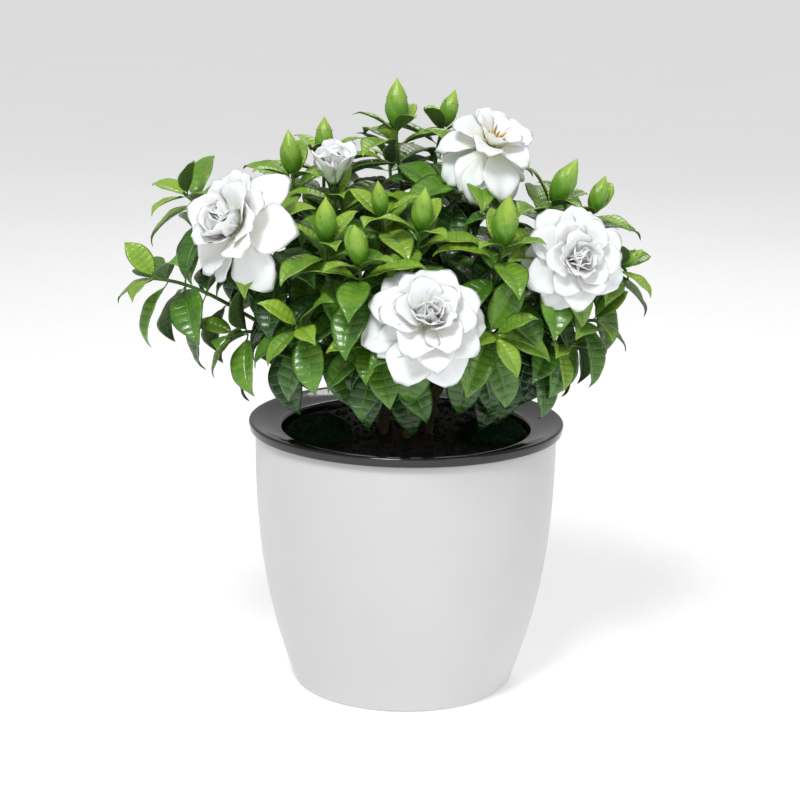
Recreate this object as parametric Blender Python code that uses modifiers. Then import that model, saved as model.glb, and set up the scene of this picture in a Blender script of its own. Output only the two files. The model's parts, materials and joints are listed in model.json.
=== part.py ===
"""A gardenia in a two-piece pot: a white cachepot, a black liner hung in it by its
flange, the soil with two clumps of moss, and a bush of planted stems, leafy shoots,
buds and flowers.

Units are metres and +Z is up. The origin is the centre of the pot's underside, and -Y
is the side that the bush is looked at from.
"""

from math import cos, pi, radians, sin

import bmesh
import bpy
from mathutils import Matrix, Quaternion, Vector
from mathutils.bvhtree import BVHTree

MM = 0.001
GAP = 0.3 * MM                    # left between two pieces that touch

# Cachepot
POT_HEIGHT = 166 * MM
POT_TOP_RADIUS = 95.7 * MM
POT_FOOT_RADIUS = 69.5 * MM
POT_TAPER_POWER = 2.5             # how late the wall swings inwards on its way down
POT_FOOT_ROUNDING = 5 * MM
POT_WALL = 2.4 * MM
POT_STEPS = 40

# Liner
RIM_RADIUS = 100 * MM
RIM_TOP = 172 * MM
SKIRT_DEPTH = 5.5 * MM            # the flange's turned-down edge
FLANGE_INNER_RADIUS = 80 * MM
FLANGE_DROP = 4.5 * MM            # the flange dishes towards the soil
LINER_WALL = 2.0 * MM
LINER_FLOOR = 38 * MM             # underside, which leaves a water reservoir below
LINER_FLOOR_RADIUS = 58 * MM
DRAIN_HOLES = 6
DRAIN_RADIUS = 3.5 * MM
DRAIN_RING_RADIUS = 36 * MM

# Soil and moss
SOIL_TOP = 162.5 * MM
SOIL_CROWN = 5 * MM
SOIL_CROWN_RADIUS = 30 * MM
MOSS_CLUMPS = {                   # centre x and y, half-width x and y, height
    "moss_left": (-54, -14, 20, 24, 13),
    "moss_right": (55, -8, 20, 24, 12),
}

# Wood
STEM_DEPTH = 14 * MM              # how far a stem goes into the soil
STEM_RING_RADIUS = 17 * MM
STEM_RADIUS = (3.4 * MM, 2.1 * MM)
TWIG_RADIUS = (0.6 * MM, 1.3 * MM, 1.0 * MM)   # heel, middle, tip
TWIG_POINTS = 6

# Leaves
LEAF_LENGTH = 46 * MM
LEAF_WIDTH = 0.44                 # of the length
# Along the leaf from its heel: the share of its length, of its full width, and the keel.
LEAF_SECTIONS = (
    (0.0, 0.05, 0.5 * MM),
    (0.12, 0.10, 1.1 * MM),
    (0.45, 1.0, 1.2 * MM),
    (0.78, 0.66, 0.9 * MM),
)
WHORL_LEAVES = 3
# Distance below the shoot's tip, lean from its heading, size, and bend of the blade.
WHORLS = (
    (4 * MM, radians(42), 0.66, radians(35)),
    (12 * MM, radians(62), 0.92, radians(45)),
    (23 * MM, radians(78), 1.06, radians(50)),
    (37 * MM, radians(92), 1.06, radians(45)),
)
# A leaf that would meet another piece is tried at these turns, leans and sizes.
TRIED_TURNS = (0, 13, -13, 26, -26, 40, -40)
TRIED_LEANS = (0, 14, -14)
TRIED_SIZES = (1.0, 0.82, 0.66)

# Where each planted stem ends, and where it stands on its ring (degrees from +X).
STEMS = {
    "stem_front": ((0, -52, 236), 270),
    "stem_left_front": ((-58, -40, 240), 215),
    "stem_left_back": ((-56, 42, 246), 145),
    "stem_right_back": ((54, 44, 246), 40),
    "stem_right_front": ((58, -38, 240), 325),
    "stem_centre": ((-2, 4, 292), None),
}

# Each shoot: its stem, how far up the stem it springs, its tip in millimetres, its
# heading at the tip, which whorls of leaves it has, and the turn of the first one.
SHOOTS = {
    "shoot_flower_left": ("stem_left_front", 1.00, (-93, -69, 301), (-0.60, -0.65, 0.35), (1, 4), 20),
    "shoot_flower_top": ("stem_centre", 0.90, (44, -36, 343), (0.35, -0.50, 0.79), (1, 4), 50),
    "shoot_flower_right": ("stem_right_front", 1.00, (95, -69, 287), (0.25, -0.93, 0.20), (1, 4), 0),
    "shoot_flower_front": ("stem_front", 1.00, (10, -111, 253), (0.10, -0.80, 0.59), (1, 4), 35),
    "shoot_half_open": ("stem_centre", 0.80, (-46, -32, 317), (-0.05, -0.20, 0.97), (0, 3), 10),
    "shoot_bud_crown": ("stem_centre", 1.00, (-9, -4, 357), (0.0, 0.0, 1.0), (0, 3), 15),
    "shoot_bud_crown_right": ("stem_centre", 0.94, (20, 12, 356), (0.30, 0.05, 0.95), (0, 3), 70),
    "shoot_bud_left_high": ("stem_left_back", 1.00, (-72, -19, 329), (-0.10, 0.0, 0.99), (0, 3), 30),
    "shoot_bud_left_back": ("stem_left_back", 0.92, (-54, 12, 337), (0.0, 0.10, 0.99), (0, 3), 90),
    "shoot_bud_left_front": ("stem_left_front", 0.88, (-49, -82, 298), (0.0, -0.25, 0.97), (0, 3), 0),
    "shoot_bud_front_left": ("stem_front", 0.88, (-29, -100, 288), (-0.10, -0.35, 0.93), (0, 3), 45),
    "shoot_bud_middle": ("stem_centre", 0.70, (-17, -58, 310), (-0.10, -0.20, 0.97), (0, 3), 80),
    "shoot_bud_front": ("stem_front", 0.78, (6, -74, 304), (0.10, -0.20, 0.97), (0, 3), 20),
    "shoot_bud_right_front": ("stem_right_front", 0.90, (54, -80, 297), (0.10, -0.30, 0.95), (0, 3), 60),
    "shoot_bud_right_high": ("stem_right_front", 0.80, (86, -44, 318), (0.45, -0.10, 0.89), (0, 3), 10),
    "shoot_bud_right_back": ("stem_right_back", 1.00, (112, -18, 308), (0.30, 0.0, 0.95), (0, 3), 40),
    "shoot_bud_right_low": ("stem_right_back", 0.88, (131, -18, 275), (0.75, -0.10, 0.66), (0, 3), 75),
    "shoot_left_high": ("stem_left_back", 0.84, (-138, -28, 318), (-0.75, -0.10, 0.65), (0, 3), 0),
    "shoot_left_far": ("stem_left_front", 0.80, (-155, -62, 271), (-0.95, -0.28, 0.10), (0, 3), 30),
    "shoot_left_low": ("stem_left_front", 0.64, (-108, -52, 234), (-0.80, -0.30, -0.30), (0, 3), 60),
    "shoot_left_front_low": ("stem_left_front", 0.72, (-66, -92, 248), (-0.50, -0.80, 0.05), (0, 3), 15),
    "shoot_front_low": ("stem_front", 0.66, (-22, -92, 240), (-0.30, -0.88, 0.10), (0, 3), 50),
    "shoot_right_front_low": ("stem_right_front", 0.70, (52, -96, 246), (0.40, -0.85, 0.0), (0, 3), 70),
    "shoot_right_far": ("stem_right_front", 0.80, (116, -44, 246), (0.90, -0.35, 0.05), (0, 3), 20),
    "shoot_right_low": ("stem_right_front", 0.60, (94, -52, 232), (0.75, -0.40, -0.25), (0, 3), 85),
    "shoot_left_back": ("stem_left_back", 0.74, (-112, 48, 286), (-0.80, 0.50, 0.35), (0, 3), 40),
    "shoot_left_back_low": ("stem_left_back", 0.62, (-92, 66, 236), (-0.65, 0.70, -0.10), (0, 3), 10),
    "shoot_back_high": ("stem_centre", 0.62, (-14, 66, 332), (-0.10, 0.45, 0.89), (0, 3), 60),
    "shoot_back_left": ("stem_left_back", 0.97, (-46, 104, 292), (-0.30, 0.80, 0.50), (0, 3), 25),
    "shoot_back_right": ("stem_right_back", 0.94, (48, 102, 290), (0.30, 0.80, 0.50), (0, 3), 75),
    "shoot_right_back": ("stem_right_back", 0.76, (112, 54, 282), (0.80, 0.50, 0.35), (0, 3), 0),
    "shoot_back_low": ("stem_right_back", 0.62, (34, 104, 234), (0.25, 0.95, -0.10), (0, 3), 55),
}

# Each flower: its shoot, its radius, and how far its outer petals open from its axis.
FLOWERS = {
    "flower_left": ("shoot_flower_left", 37 * MM, radians(80)),
    "flower_top": ("shoot_flower_top", 33 * MM, radians(84)),
    "flower_right": ("shoot_flower_right", 33 * MM, radians(78)),
    "flower_front": ("shoot_flower_front", 37 * MM, radians(82)),
    "flower_half_open": ("shoot_half_open", 24 * MM, radians(30)),
}
FLOWER_TUBE = 10 * MM
PETALS = 6
PETAL_KEEL = 1.2 * MM
PETAL_CUP = 0.2                   # how far the edges stand up, of the petal's half-width
PETAL_SECTIONS = ((0.0, 0.06), (0.40, 0.26), (0.72, 0.36), (0.94, 0.24))

# Each bud: its shoot and its length.
BUDS = {
    "bud_crown": ("shoot_bud_crown", 30 * MM),
    "bud_crown_right": ("shoot_bud_crown_right", 24 * MM),
    "bud_left_high": ("shoot_bud_left_high", 27 * MM),
    "bud_left_back": ("shoot_bud_left_back", 24 * MM),
    "bud_left_front": ("shoot_bud_left_front", 28 * MM),
    "bud_front_left": ("shoot_bud_front_left", 26 * MM),
    "bud_middle": ("shoot_bud_middle", 22 * MM),
    "bud_front": ("shoot_bud_front", 27 * MM),
    "bud_right_front": ("shoot_bud_right_front", 33 * MM),
    "bud_right_high": ("shoot_bud_right_high", 30 * MM),
    "bud_right_back": ("shoot_bud_right_back", 24 * MM),
    "bud_right_low": ("shoot_bud_right_low", 17 * MM),
}
BUD_SHAPE = ((0.0, 0.30), (0.13, 0.34), (0.30, 0.82), (0.52, 1.0), (0.76, 0.74), (0.93, 0.30))
BUD_FATNESS = 0.235               # largest radius, of the length

# The hollow above the soil in front of the stems, which leaves stay out of.
WATERING_SPACE = ((-30 * MM, -70 * MM, 163 * MM), (30 * MM, -42 * MM, 200 * MM))


def clear_scene():
    for obj in list(bpy.data.objects):
        bpy.data.objects.remove(obj, do_unlink=True)


def new_collection(name, parent=None):
    made = bpy.data.collections.new(name)
    (parent or bpy.context.scene.collection).children.link(made)
    return made


def material(name, colour, roughness, metallic=0.0):
    made = bpy.data.materials.new(name)
    made.use_nodes = True
    shader = made.node_tree.nodes["Principled BSDF"]
    shader.inputs["Base Color"].default_value = (*colour, 1.0)
    shader.inputs["Roughness"].default_value = roughness
    shader.inputs["Metallic"].default_value = metallic
    return made


def add_object(name, data, finish, group):
    obj = bpy.data.objects.new(name, data)
    data.materials.append(finish)
    group.objects.link(obj)
    return obj


def hide_helper(obj):
    obj.hide_render = True
    obj.display_type = "WIRE"


def mesh_of(verts, faces, name):
    mesh = bpy.data.meshes.new(name)
    mesh.from_pydata(verts, [], faces)
    mesh.update()
    return mesh


def turned(name, profile, steps, finish, group):
    """Turns (radius, height) points round Z. The outer side runs from top to bottom."""
    edges = [(i, i + 1) for i in range(len(profile) - 1)]
    mesh = bpy.data.meshes.new(name)
    mesh.from_pydata([(r, 0.0, z) for r, z in profile], edges, [])
    obj = add_object(name, mesh, finish, group)
    screw = obj.modifiers.new("Screw", "SCREW")
    screw.steps = screw.render_steps = steps
    screw.use_merge_vertices = True
    screw.merge_threshold = 0.00001
    screw.use_smooth_shade = True
    return obj


def baked(obj):
    """The object with its modifiers made part of its mesh, its doubles welded."""
    graph = bpy.context.evaluated_depsgraph_get()
    mesh = bpy.data.meshes.new_from_object(obj.evaluated_get(graph))
    work = bmesh.new()
    work.from_mesh(mesh)
    bmesh.ops.remove_doubles(work, verts=work.verts, dist=0.00001)
    work.to_mesh(mesh)
    work.free()
    made = bpy.data.objects.new(obj.name, mesh)
    made.matrix_world = obj.matrix_world.copy()
    for group in obj.users_collection:
        group.objects.link(made)
    name = obj.name
    bpy.data.objects.remove(obj, do_unlink=True)
    made.name = name
    return made


def unite(obj, group):
    """Joins every object of the group to obj with a Boolean."""
    union = obj.modifiers.new("Union", "BOOLEAN")
    union.operation = "UNION"
    union.operand_type = "COLLECTION"
    union.collection = group


def cut(obj, cutter):
    hide_helper(cutter)
    difference = obj.modifiers.new("Cut " + cutter.name, "BOOLEAN")
    difference.operation = "DIFFERENCE"
    difference.object = cutter


def pillar(name, radius, low, high, place, group):
    """A round cutter that stands upright at place."""
    bpy.ops.mesh.primitive_cylinder_add(
        vertices=12, radius=radius, depth=high - low, location=(place.x, place.y, (low + high) / 2)
    )
    obj = bpy.context.active_object
    obj.name = name
    for owner in list(obj.users_collection):
        owner.objects.unlink(obj)
    group.objects.link(obj)
    return obj


def pot_radius(height):
    """The cachepot's outer radius at a height: nearly upright above, swung in below."""
    share = (1 - height / POT_HEIGHT) ** POT_TAPER_POWER
    return POT_TOP_RADIUS - (POT_TOP_RADIUS - POT_FOOT_RADIUS) * share


def make_cachepot(finish, group):
    heights = [POT_HEIGHT * (i / 8) ** 1.3 for i in range(1, 9)]
    rounding = [radians(a) for a in (15, 45, 75)]
    centre = pot_radius(POT_FOOT_ROUNDING) - POT_FOOT_ROUNDING
    inner = [(pot_radius(z) - POT_WALL, z) for z in heights[1::2]]
    profile = [(0.0, POT_WALL), (centre, POT_WALL), *inner]
    profile += [(pot_radius(z), z) for z in reversed(heights)]
    profile += [
        (centre + POT_FOOT_ROUNDING * cos(a), POT_FOOT_ROUNDING * (1 - sin(a))) for a in rounding
    ]
    profile += [(centre, 0.0), (0.0, 0.0)]
    return turned("cachepot", profile, POT_STEPS, finish, group)


def make_liner(finish, group, cutters):
    """A bucket hung by a dished flange, whose edge turns down over the cachepot's lip."""
    flange_low = RIM_TOP - FLANGE_DROP
    skirt_low = RIM_TOP - SKIRT_DEPTH
    seat = POT_HEIGHT + GAP
    lip = 2 * MM
    wall = LINER_WALL
    profile = [
        (0.0, LINER_FLOOR + wall),
        (LINER_FLOOR_RADIUS - wall, LINER_FLOOR + wall),
        (FLANGE_INNER_RADIUS - wall, flange_low - 12 * MM),
        (FLANGE_INNER_RADIUS, flange_low),
        (RIM_RADIUS - lip, RIM_TOP - 0.4 * MM),
        (RIM_RADIUS - 0.6 * MM, RIM_TOP),
        (RIM_RADIUS, RIM_TOP - 0.8 * MM),
        (RIM_RADIUS - 0.3 * MM, skirt_low),
        (RIM_RADIUS - 1.8 * MM, skirt_low),
        (RIM_RADIUS - 1.8 * MM, seat),
        (FLANGE_INNER_RADIUS + 9 * MM, seat),
        (FLANGE_INNER_RADIUS + wall, flange_low - wall),
        (FLANGE_INNER_RADIUS, flange_low - 12 * MM),
        (LINER_FLOOR_RADIUS, LINER_FLOOR),
        (0.0, LINER_FLOOR),
    ]
    liner = turned("liner", profile, POT_STEPS, finish, group)
    for i in range(DRAIN_HOLES):
        angle = 2 * pi * i / DRAIN_HOLES
        place = Vector((cos(angle), sin(angle), 0)) * DRAIN_RING_RADIUS
        low, high = LINER_FLOOR - 5 * MM, LINER_FLOOR + wall + 5 * MM
        cut(liner, pillar(f"drain_cutter_{i}", DRAIN_RADIUS, low, high, place, cutters))
    return liner


def stem_foot(angle):
    if angle is None:
        return Vector((0, 0, 0))
    return Vector((cos(radians(angle)), sin(radians(angle)), 0)) * STEM_RING_RADIUS


def make_soil(finish, group, cutters):
    low = LINER_FLOOR + LINER_WALL + GAP
    flange_low = RIM_TOP - FLANGE_DROP
    shrink = LINER_WALL + 2 * GAP
    profile = [
        (0.0, SOIL_TOP + SOIL_CROWN),
        (SOIL_CROWN_RADIUS * 0.5, SOIL_TOP + SOIL_CROWN * 0.75),
        (SOIL_CROWN_RADIUS, SOIL_TOP),
        (FLANGE_INNER_RADIUS - shrink, SOIL_TOP),
        (FLANGE_INNER_RADIUS - shrink, flange_low - 12 * MM),
        (LINER_FLOOR_RADIUS - shrink, low),
        (0.0, low),
    ]
    soil = turned("soil", profile, POT_STEPS, finish, group)
    for name, (_, angle) in STEMS.items():
        radius = STEM_RADIUS[0] + GAP
        low = SOIL_TOP - STEM_DEPTH - GAP
        hole = pillar(name + "_hole", radius, low, POT_HEIGHT + 30 * MM, stem_foot(angle), cutters)
        cut(soil, hole)
    return soil


def make_moss(finish, group):
    for name, (x, y, wide, deep, high) in MOSS_CLUMPS.items():
        work = bmesh.new()
        bmesh.ops.create_uvsphere(work, u_segments=14, v_segments=8, radius=1.0)
        every = work.verts[:] + work.edges[:] + work.faces[:]
        bmesh.ops.bisect_plane(
            work, geom=every, plane_co=(0, 0, 0), plane_no=(0, 0, -1), clear_outer=True
        )
        bmesh.ops.holes_fill(work, edges=[e for e in work.edges if e.is_boundary])
        bmesh.ops.transform(work, matrix=Matrix.Diagonal((wide, deep, high, 1 / MM)) * MM, verts=work.verts)
        mesh = bpy.data.meshes.new(name)
        work.to_mesh(mesh)
        work.free()
        mesh.shade_smooth()
        clump = add_object(name, mesh, finish, group)
        clump.location = (x * MM, y * MM, SOIL_TOP + GAP)


def bezier(p0, p1, p2, p3, t):
    s = 1 - t
    return p0 * s**3 + p1 * (3 * s * s * t) + p2 * (3 * s * t * t) + p3 * t**3


def tube(name, points, radii, sides, finish, group):
    """A tapered round rod along the points, made a mesh so that Booleans can use it."""
    curve = bpy.data.curves.new(name, "CURVE")
    curve.dimensions = "3D"
    curve.bevel_depth = 1.0
    curve.bevel_resolution = sides // 2 - 2
    curve.use_fill_caps = True
    spline = curve.splines.new("POLY")
    spline.points.add(len(points) - 1)
    for point, place, radius in zip(spline.points, points, radii):
        point.co = (*place, 1.0)
        point.radius = radius
    return baked(add_object(name, curve, finish, group))


def stem_path(name):
    """The stem's points: upright through the soil, then leaning out to its end."""
    end, angle = STEMS[name]
    foot = stem_foot(angle) + Vector((0, 0, SOIL_TOP - STEM_DEPTH))
    collar = foot + Vector((0, 0, STEM_DEPTH + SOIL_CROWN))
    end = Vector(end) * MM
    rise = Vector((0, 0, (end - collar).length * 0.45))
    lean = (end - collar).normalized() * rise.length * 0.5
    leaning = [bezier(collar, collar + rise, end - lean, end, t / 7) for t in range(8)]
    return [foot, *leaning]


def along(points, share):
    """The place and direction at a share of the way along a row of points."""
    lengths = [(b - a).length for a, b in zip(points, points[1:])]
    left = share * sum(lengths)
    for a, b, length in zip(points, points[1:], lengths):
        if left <= length + 1e-9:
            return a.lerp(b, left / length), (b - a).normalized()
        left -= length
    return points[-1], (points[-1] - points[-2]).normalized()


def twig_path(name):
    """A shoot's points, from its heel beside the stem to its tip."""
    stem, share, tip, heading, _, _ = SHOOTS[name]
    place, direction = along(stem_path(stem), share)
    tip = Vector(tip) * MM
    heading = Vector(heading).normalized()
    away = tip - place
    if share < 0.999:
        away -= direction * away.dot(direction)
        offset = STEM_RADIUS[0] + (STEM_RADIUS[1] - STEM_RADIUS[0]) * share + 2 * GAP
        start = place + away.normalized() * offset
        leaving = (away.normalized() + direction).normalized()
    else:
        start = place + direction * GAP
        leaving = direction
    reach = (tip - start).length * 0.36
    collar = tip - heading * 1.5 * MM
    steps = TWIG_POINTS - 2
    bowed = [
        bezier(start, start + leaving * reach, collar - heading * reach, collar, t / steps)
        for t in range(TWIG_POINTS - 1)
    ]
    return [*bowed, tip]


def twig_radii():
    heel, middle, end = TWIG_RADIUS
    shares = [i / (TWIG_POINTS - 2) for i in range(TWIG_POINTS - 1)]
    return [heel] + [middle + (end - middle) * s for s in shares]


def leaf_frame(root, heading, turn, lean):
    """Directions of a leaf on a twig: along its blade at the stalk, and its upper side."""
    across = heading.orthogonal().normalized()
    outward = Quaternion(heading, turn) @ across
    pointing = (heading * cos(lean) + outward * sin(lean)).normalized()
    upper = heading * 0.6 + Vector((0, 0, 0.8))
    upper = (upper - pointing * upper.dot(pointing)).normalized()
    return root + outward * 0.2 * MM, pointing, upper


def blade_point(frame, length, bend, u):
    """The midrib's place at share u of the blade, bent away from its upper side."""
    root, pointing, upper = frame
    swing = bend * u
    return root + (pointing * sin(swing) - upper * (1 - cos(swing))) * (length / bend)


def blade_solid(sections, tip):
    """A closed blade: rows of left edge, right edge and keel that run to a tip."""
    verts = [corner for section in sections for corner in section]
    last = len(verts) - 3
    faces = [(0, 1, 2)]
    for first in range(0, last, 3):
        for i in range(3):
            j = (i + 1) % 3
            faces.append((first + i, first + 3 + i, first + 3 + j))
            faces.append((first + i, first + 3 + j, first + j))
    faces += [(last + i, last + 3, last + (i + 1) % 3) for i in range(3)]
    return [*verts, tip], faces


def leaf_solid(frame, length, bend):
    """A leaf's blade on its stalk."""
    _, pointing, upper = frame
    side = pointing.cross(upper)
    sections = []
    for u, wide, keel in LEAF_SECTIONS:
        middle = blade_point(frame, length, bend, u)
        normal = upper * cos(bend * u) + pointing * sin(bend * u)
        spread = side * length * LEAF_WIDTH / 2 * wide
        sections.append((middle + spread, middle - spread, middle - normal * keel))
    return blade_solid(sections, blade_point(frame, length, bend, 1.0))


class Crowd:
    """The surfaces already in place, each under the name of its piece."""

    def __init__(self):
        self.placed = []

    def add(self, piece, verts, faces):
        low = Vector([min(v[k] for v in verts) for k in range(3)])
        high = Vector([max(v[k] for v in verts) for k in range(3)])
        self.placed.append((piece, BVHTree.FromPolygons(verts, faces), low, high))

    def add_object(self, obj):
        graph = bpy.context.evaluated_depsgraph_get()
        mesh = obj.evaluated_get(graph).to_mesh()
        verts = [obj.matrix_world @ v.co for v in mesh.vertices]
        self.add(obj.name, verts, [tuple(p.vertices) for p in mesh.polygons])

    def is_clear(self, shoot, verts, faces):
        """Whether a leaf of the shoot meets nothing. Its stalk may meet its own shoot."""
        tree = BVHTree.FromPolygons(verts, faces, epsilon=1.5 * GAP)
        blade = BVHTree.FromPolygons(verts, faces[7:], epsilon=1.5 * GAP)
        low = [min(v[k] for v in verts) - GAP for k in range(3)]
        high = [max(v[k] for v in verts) + GAP for k in range(3)]
        for piece, other, other_low, other_high in self.placed:
            if any(low[k] > other_high[k] or high[k] < other_low[k] for k in range(3)):
                continue
            if (blade if piece == shoot else tree).overlap(other):
                return False
        return True


def settled_leaf(shoot, root, heading, turn, lean, length, bend, crowd):
    """The first of the tried leaves that meets nothing, or None where there is no room."""
    for size in TRIED_SIZES:
        for lean_more in TRIED_LEANS:
            for turn_more in TRIED_TURNS:
                frame = leaf_frame(
                    root, heading, turn + radians(turn_more), lean + radians(lean_more)
                )
                leaf = leaf_solid(frame, length * size, bend)
                if crowd.is_clear(shoot, *leaf):
                    return leaf
    return None


def leaves_of(name, crowd):
    """Every leaf of a shoot that finds room, in whorls from the tip down."""
    _, _, _, _, (first_whorl, last_whorl), first_turn = SHOOTS[name]
    path = twig_path(name)
    total = sum((b - a).length for a, b in zip(path, path[1:]))
    found = []
    for number in range(first_whorl, last_whorl):
        below, lean, size, bend = WHORLS[number]
        root, heading = along(path, 1 - below / total)
        for i in range(WHORL_LEAVES):
            turn = radians(first_turn + 360 / WHORL_LEAVES * (i + number / 2))
            leaf = settled_leaf(name, root, heading, turn, lean, LEAF_LENGTH * size, bend, crowd)
            if leaf:
                crowd.add(name, *leaf)
                found.append(leaf)
    return found


def seated(obj, tip, heading):
    """Stands a piece that was modelled up Z on the end of a shoot."""
    heading = Vector(heading).normalized()
    obj.rotation_mode = "QUATERNION"
    obj.rotation_quaternion = heading.to_track_quat("Z", "Y")
    obj.location = Vector(tip) * MM + heading * GAP
    return obj


def make_bud(name, finish, group):
    shoot, length = BUDS[name]
    profile = [(0.0, length)]
    profile += [(length * BUD_FATNESS * wide, length * u) for u, wide in reversed(BUD_SHAPE)]
    profile.append((0.0, 0.0))
    bud = turned(name, profile, 8, finish, group)
    return seated(bud, SHOOTS[shoot][2], SHOOTS[shoot][3])


def petal_solid(radius, opening, turn, root_radius, height):
    """One broad cupped petal of a corolla whose axis is +Z."""
    outward = Vector((cos(turn), sin(turn), 0))
    pointing = outward * sin(opening) + Vector((0, 0, cos(opening)))
    upper = Vector((0, 0, sin(opening))) - outward * cos(opening)
    side = pointing.cross(upper)
    root = Vector((0, 0, height)) + outward * root_radius
    sections = []
    for u, wide in PETAL_SECTIONS:
        middle = root + pointing * (radius * u)
        spread = side * radius * wide
        keel = middle - upper * PETAL_KEEL
        edges = middle + upper * radius * wide * PETAL_CUP
        sections.append((edges + spread, edges - spread, keel))
    return blade_solid(sections, root + pointing * radius)


def make_flower(name, finish, group, helpers):
    """A tube and a domed heart, joined to two whorls of petals."""
    shoot, radius, opening = FLOWERS[name]
    heart = radius * (0.42 if opening > radians(50) else 0.36)
    profile = [
        (0.0, FLOWER_TUBE + heart * 0.80),
        (heart * 0.55, FLOWER_TUBE + heart * 0.75),
        (heart * 0.95, FLOWER_TUBE + heart * 0.42),
        (heart * 0.80, FLOWER_TUBE + heart * 0.05),
        (2.6 * MM, FLOWER_TUBE * 0.55),
        (1.8 * MM, 0.0),
        (0.0, 0.0),
    ]
    flower = baked(turned(name, profile, 10, finish, group))
    petals = new_collection(name + "_petals", helpers)
    whorls = ((1.0, opening, 0.0, 0.12), (0.80, opening * 0.72, 0.5, 0.30))
    if opening < radians(50):
        whorls = whorls[:1]
    for number, (size, lean, shift, lift) in enumerate(whorls):
        for i in range(PETALS):
            turn = 2 * pi * (i + shift) / PETALS
            lap = radians(5 if i % 2 else -4)
            root_radius = heart * 0.4
            reach = radius * size - root_radius * sin(lean)
            solid = petal_solid(reach, lean + lap, turn, root_radius, FLOWER_TUBE + heart * lift)
            petal = add_object(f"{name}_petal_{number}_{i}", mesh_of(*solid, "petal"), finish, petals)
            hide_helper(petal)
            seated(petal, SHOOTS[shoot][2], SHOOTS[shoot][3])
    seated(flower, SHOOTS[shoot][2], SHOOTS[shoot][3])
    unite(flower, petals)
    return flower


def watering_block():
    low, high = WATERING_SPACE
    work = bmesh.new()
    bmesh.ops.create_cube(work, size=1.0)
    for vert in work.verts:
        vert.co = [low[k] + (vert.co[k] + 0.5) * (high[k] - low[k]) for k in range(3)]
    verts = [v.co.copy() for v in work.verts]
    faces = [tuple(v.index for v in f.verts) for f in work.faces]
    work.free()
    return verts, faces


def main():
    clear_scene()
    plant = new_collection("potted_gardenia")
    helpers = new_collection("cutters_and_guides")
    white = material("white_plastic", (0.80, 0.80, 0.80), 0.35)
    black = material("black_plastic", (0.010, 0.010, 0.010), 0.12)
    earth = material("soil", (0.020, 0.014, 0.010), 0.95)
    moss = material("moss", (0.015, 0.060, 0.025), 0.90)
    wood = material("stem", (0.10, 0.085, 0.045), 0.70)
    green = material("leaf", (0.060, 0.190, 0.025), 0.30)
    bud_green = material("bud", (0.220, 0.400, 0.040), 0.40)
    petal = material("petal", (0.90, 0.90, 0.88), 0.50)

    make_cachepot(white, plant)
    crowd = Crowd()
    crowd.add_object(make_liner(black, plant, helpers))
    crowd.add_object(make_soil(earth, plant, helpers))
    make_moss(moss, plant)
    bpy.context.view_layer.update()
    for name in MOSS_CLUMPS:
        crowd.add_object(bpy.data.objects[name])
    crowd.add("watering_space", *watering_block())

    for name in STEMS:
        path = stem_path(name)
        thick, thin = STEM_RADIUS
        radii = [thick + (thin - thick) * i / (len(path) - 1) for i in range(len(path))]
        crowd.add_object(tube(name, path, radii, 8, wood, plant))
    tops = [make_flower(name, petal, plant, helpers) for name in FLOWERS]
    tops += [make_bud(name, bud_green, plant) for name in BUDS]
    bpy.context.view_layer.update()
    for obj in tops:
        crowd.add_object(obj)

    twigs = {name: tube(name, twig_path(name), twig_radii(), 6, green, plant) for name in SHOOTS}
    for twig in twigs.values():
        crowd.add_object(twig)
    for name, twig in twigs.items():
        blades = new_collection(name + "_leaves", helpers)
        for number, leaf in enumerate(leaves_of(name, crowd)):
            blade = add_object(f"{name}_leaf_{number}", mesh_of(*leaf, "leaf"), green, blades)
            hide_helper(blade)
        unite(twig, blades)
        print(name, len(blades.objects), "leaves")


main()
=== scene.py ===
# %% [markdown]
# # A gardenia in its pot
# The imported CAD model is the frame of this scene: every finished piece takes the place
# of a CAD node. The frame is loaded first, and its box is kept, so
# that the finished model can be compared with it at the end.

# %% Load the frame
import json
import random
from math import cos, pi, radians, sin, sqrt

import bpy
from mathutils import Matrix, Quaternion, Vector
from mathutils.bvhtree import BVHTree
from mathutils.kdtree import KDTree
from mathutils.noise import noise

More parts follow.
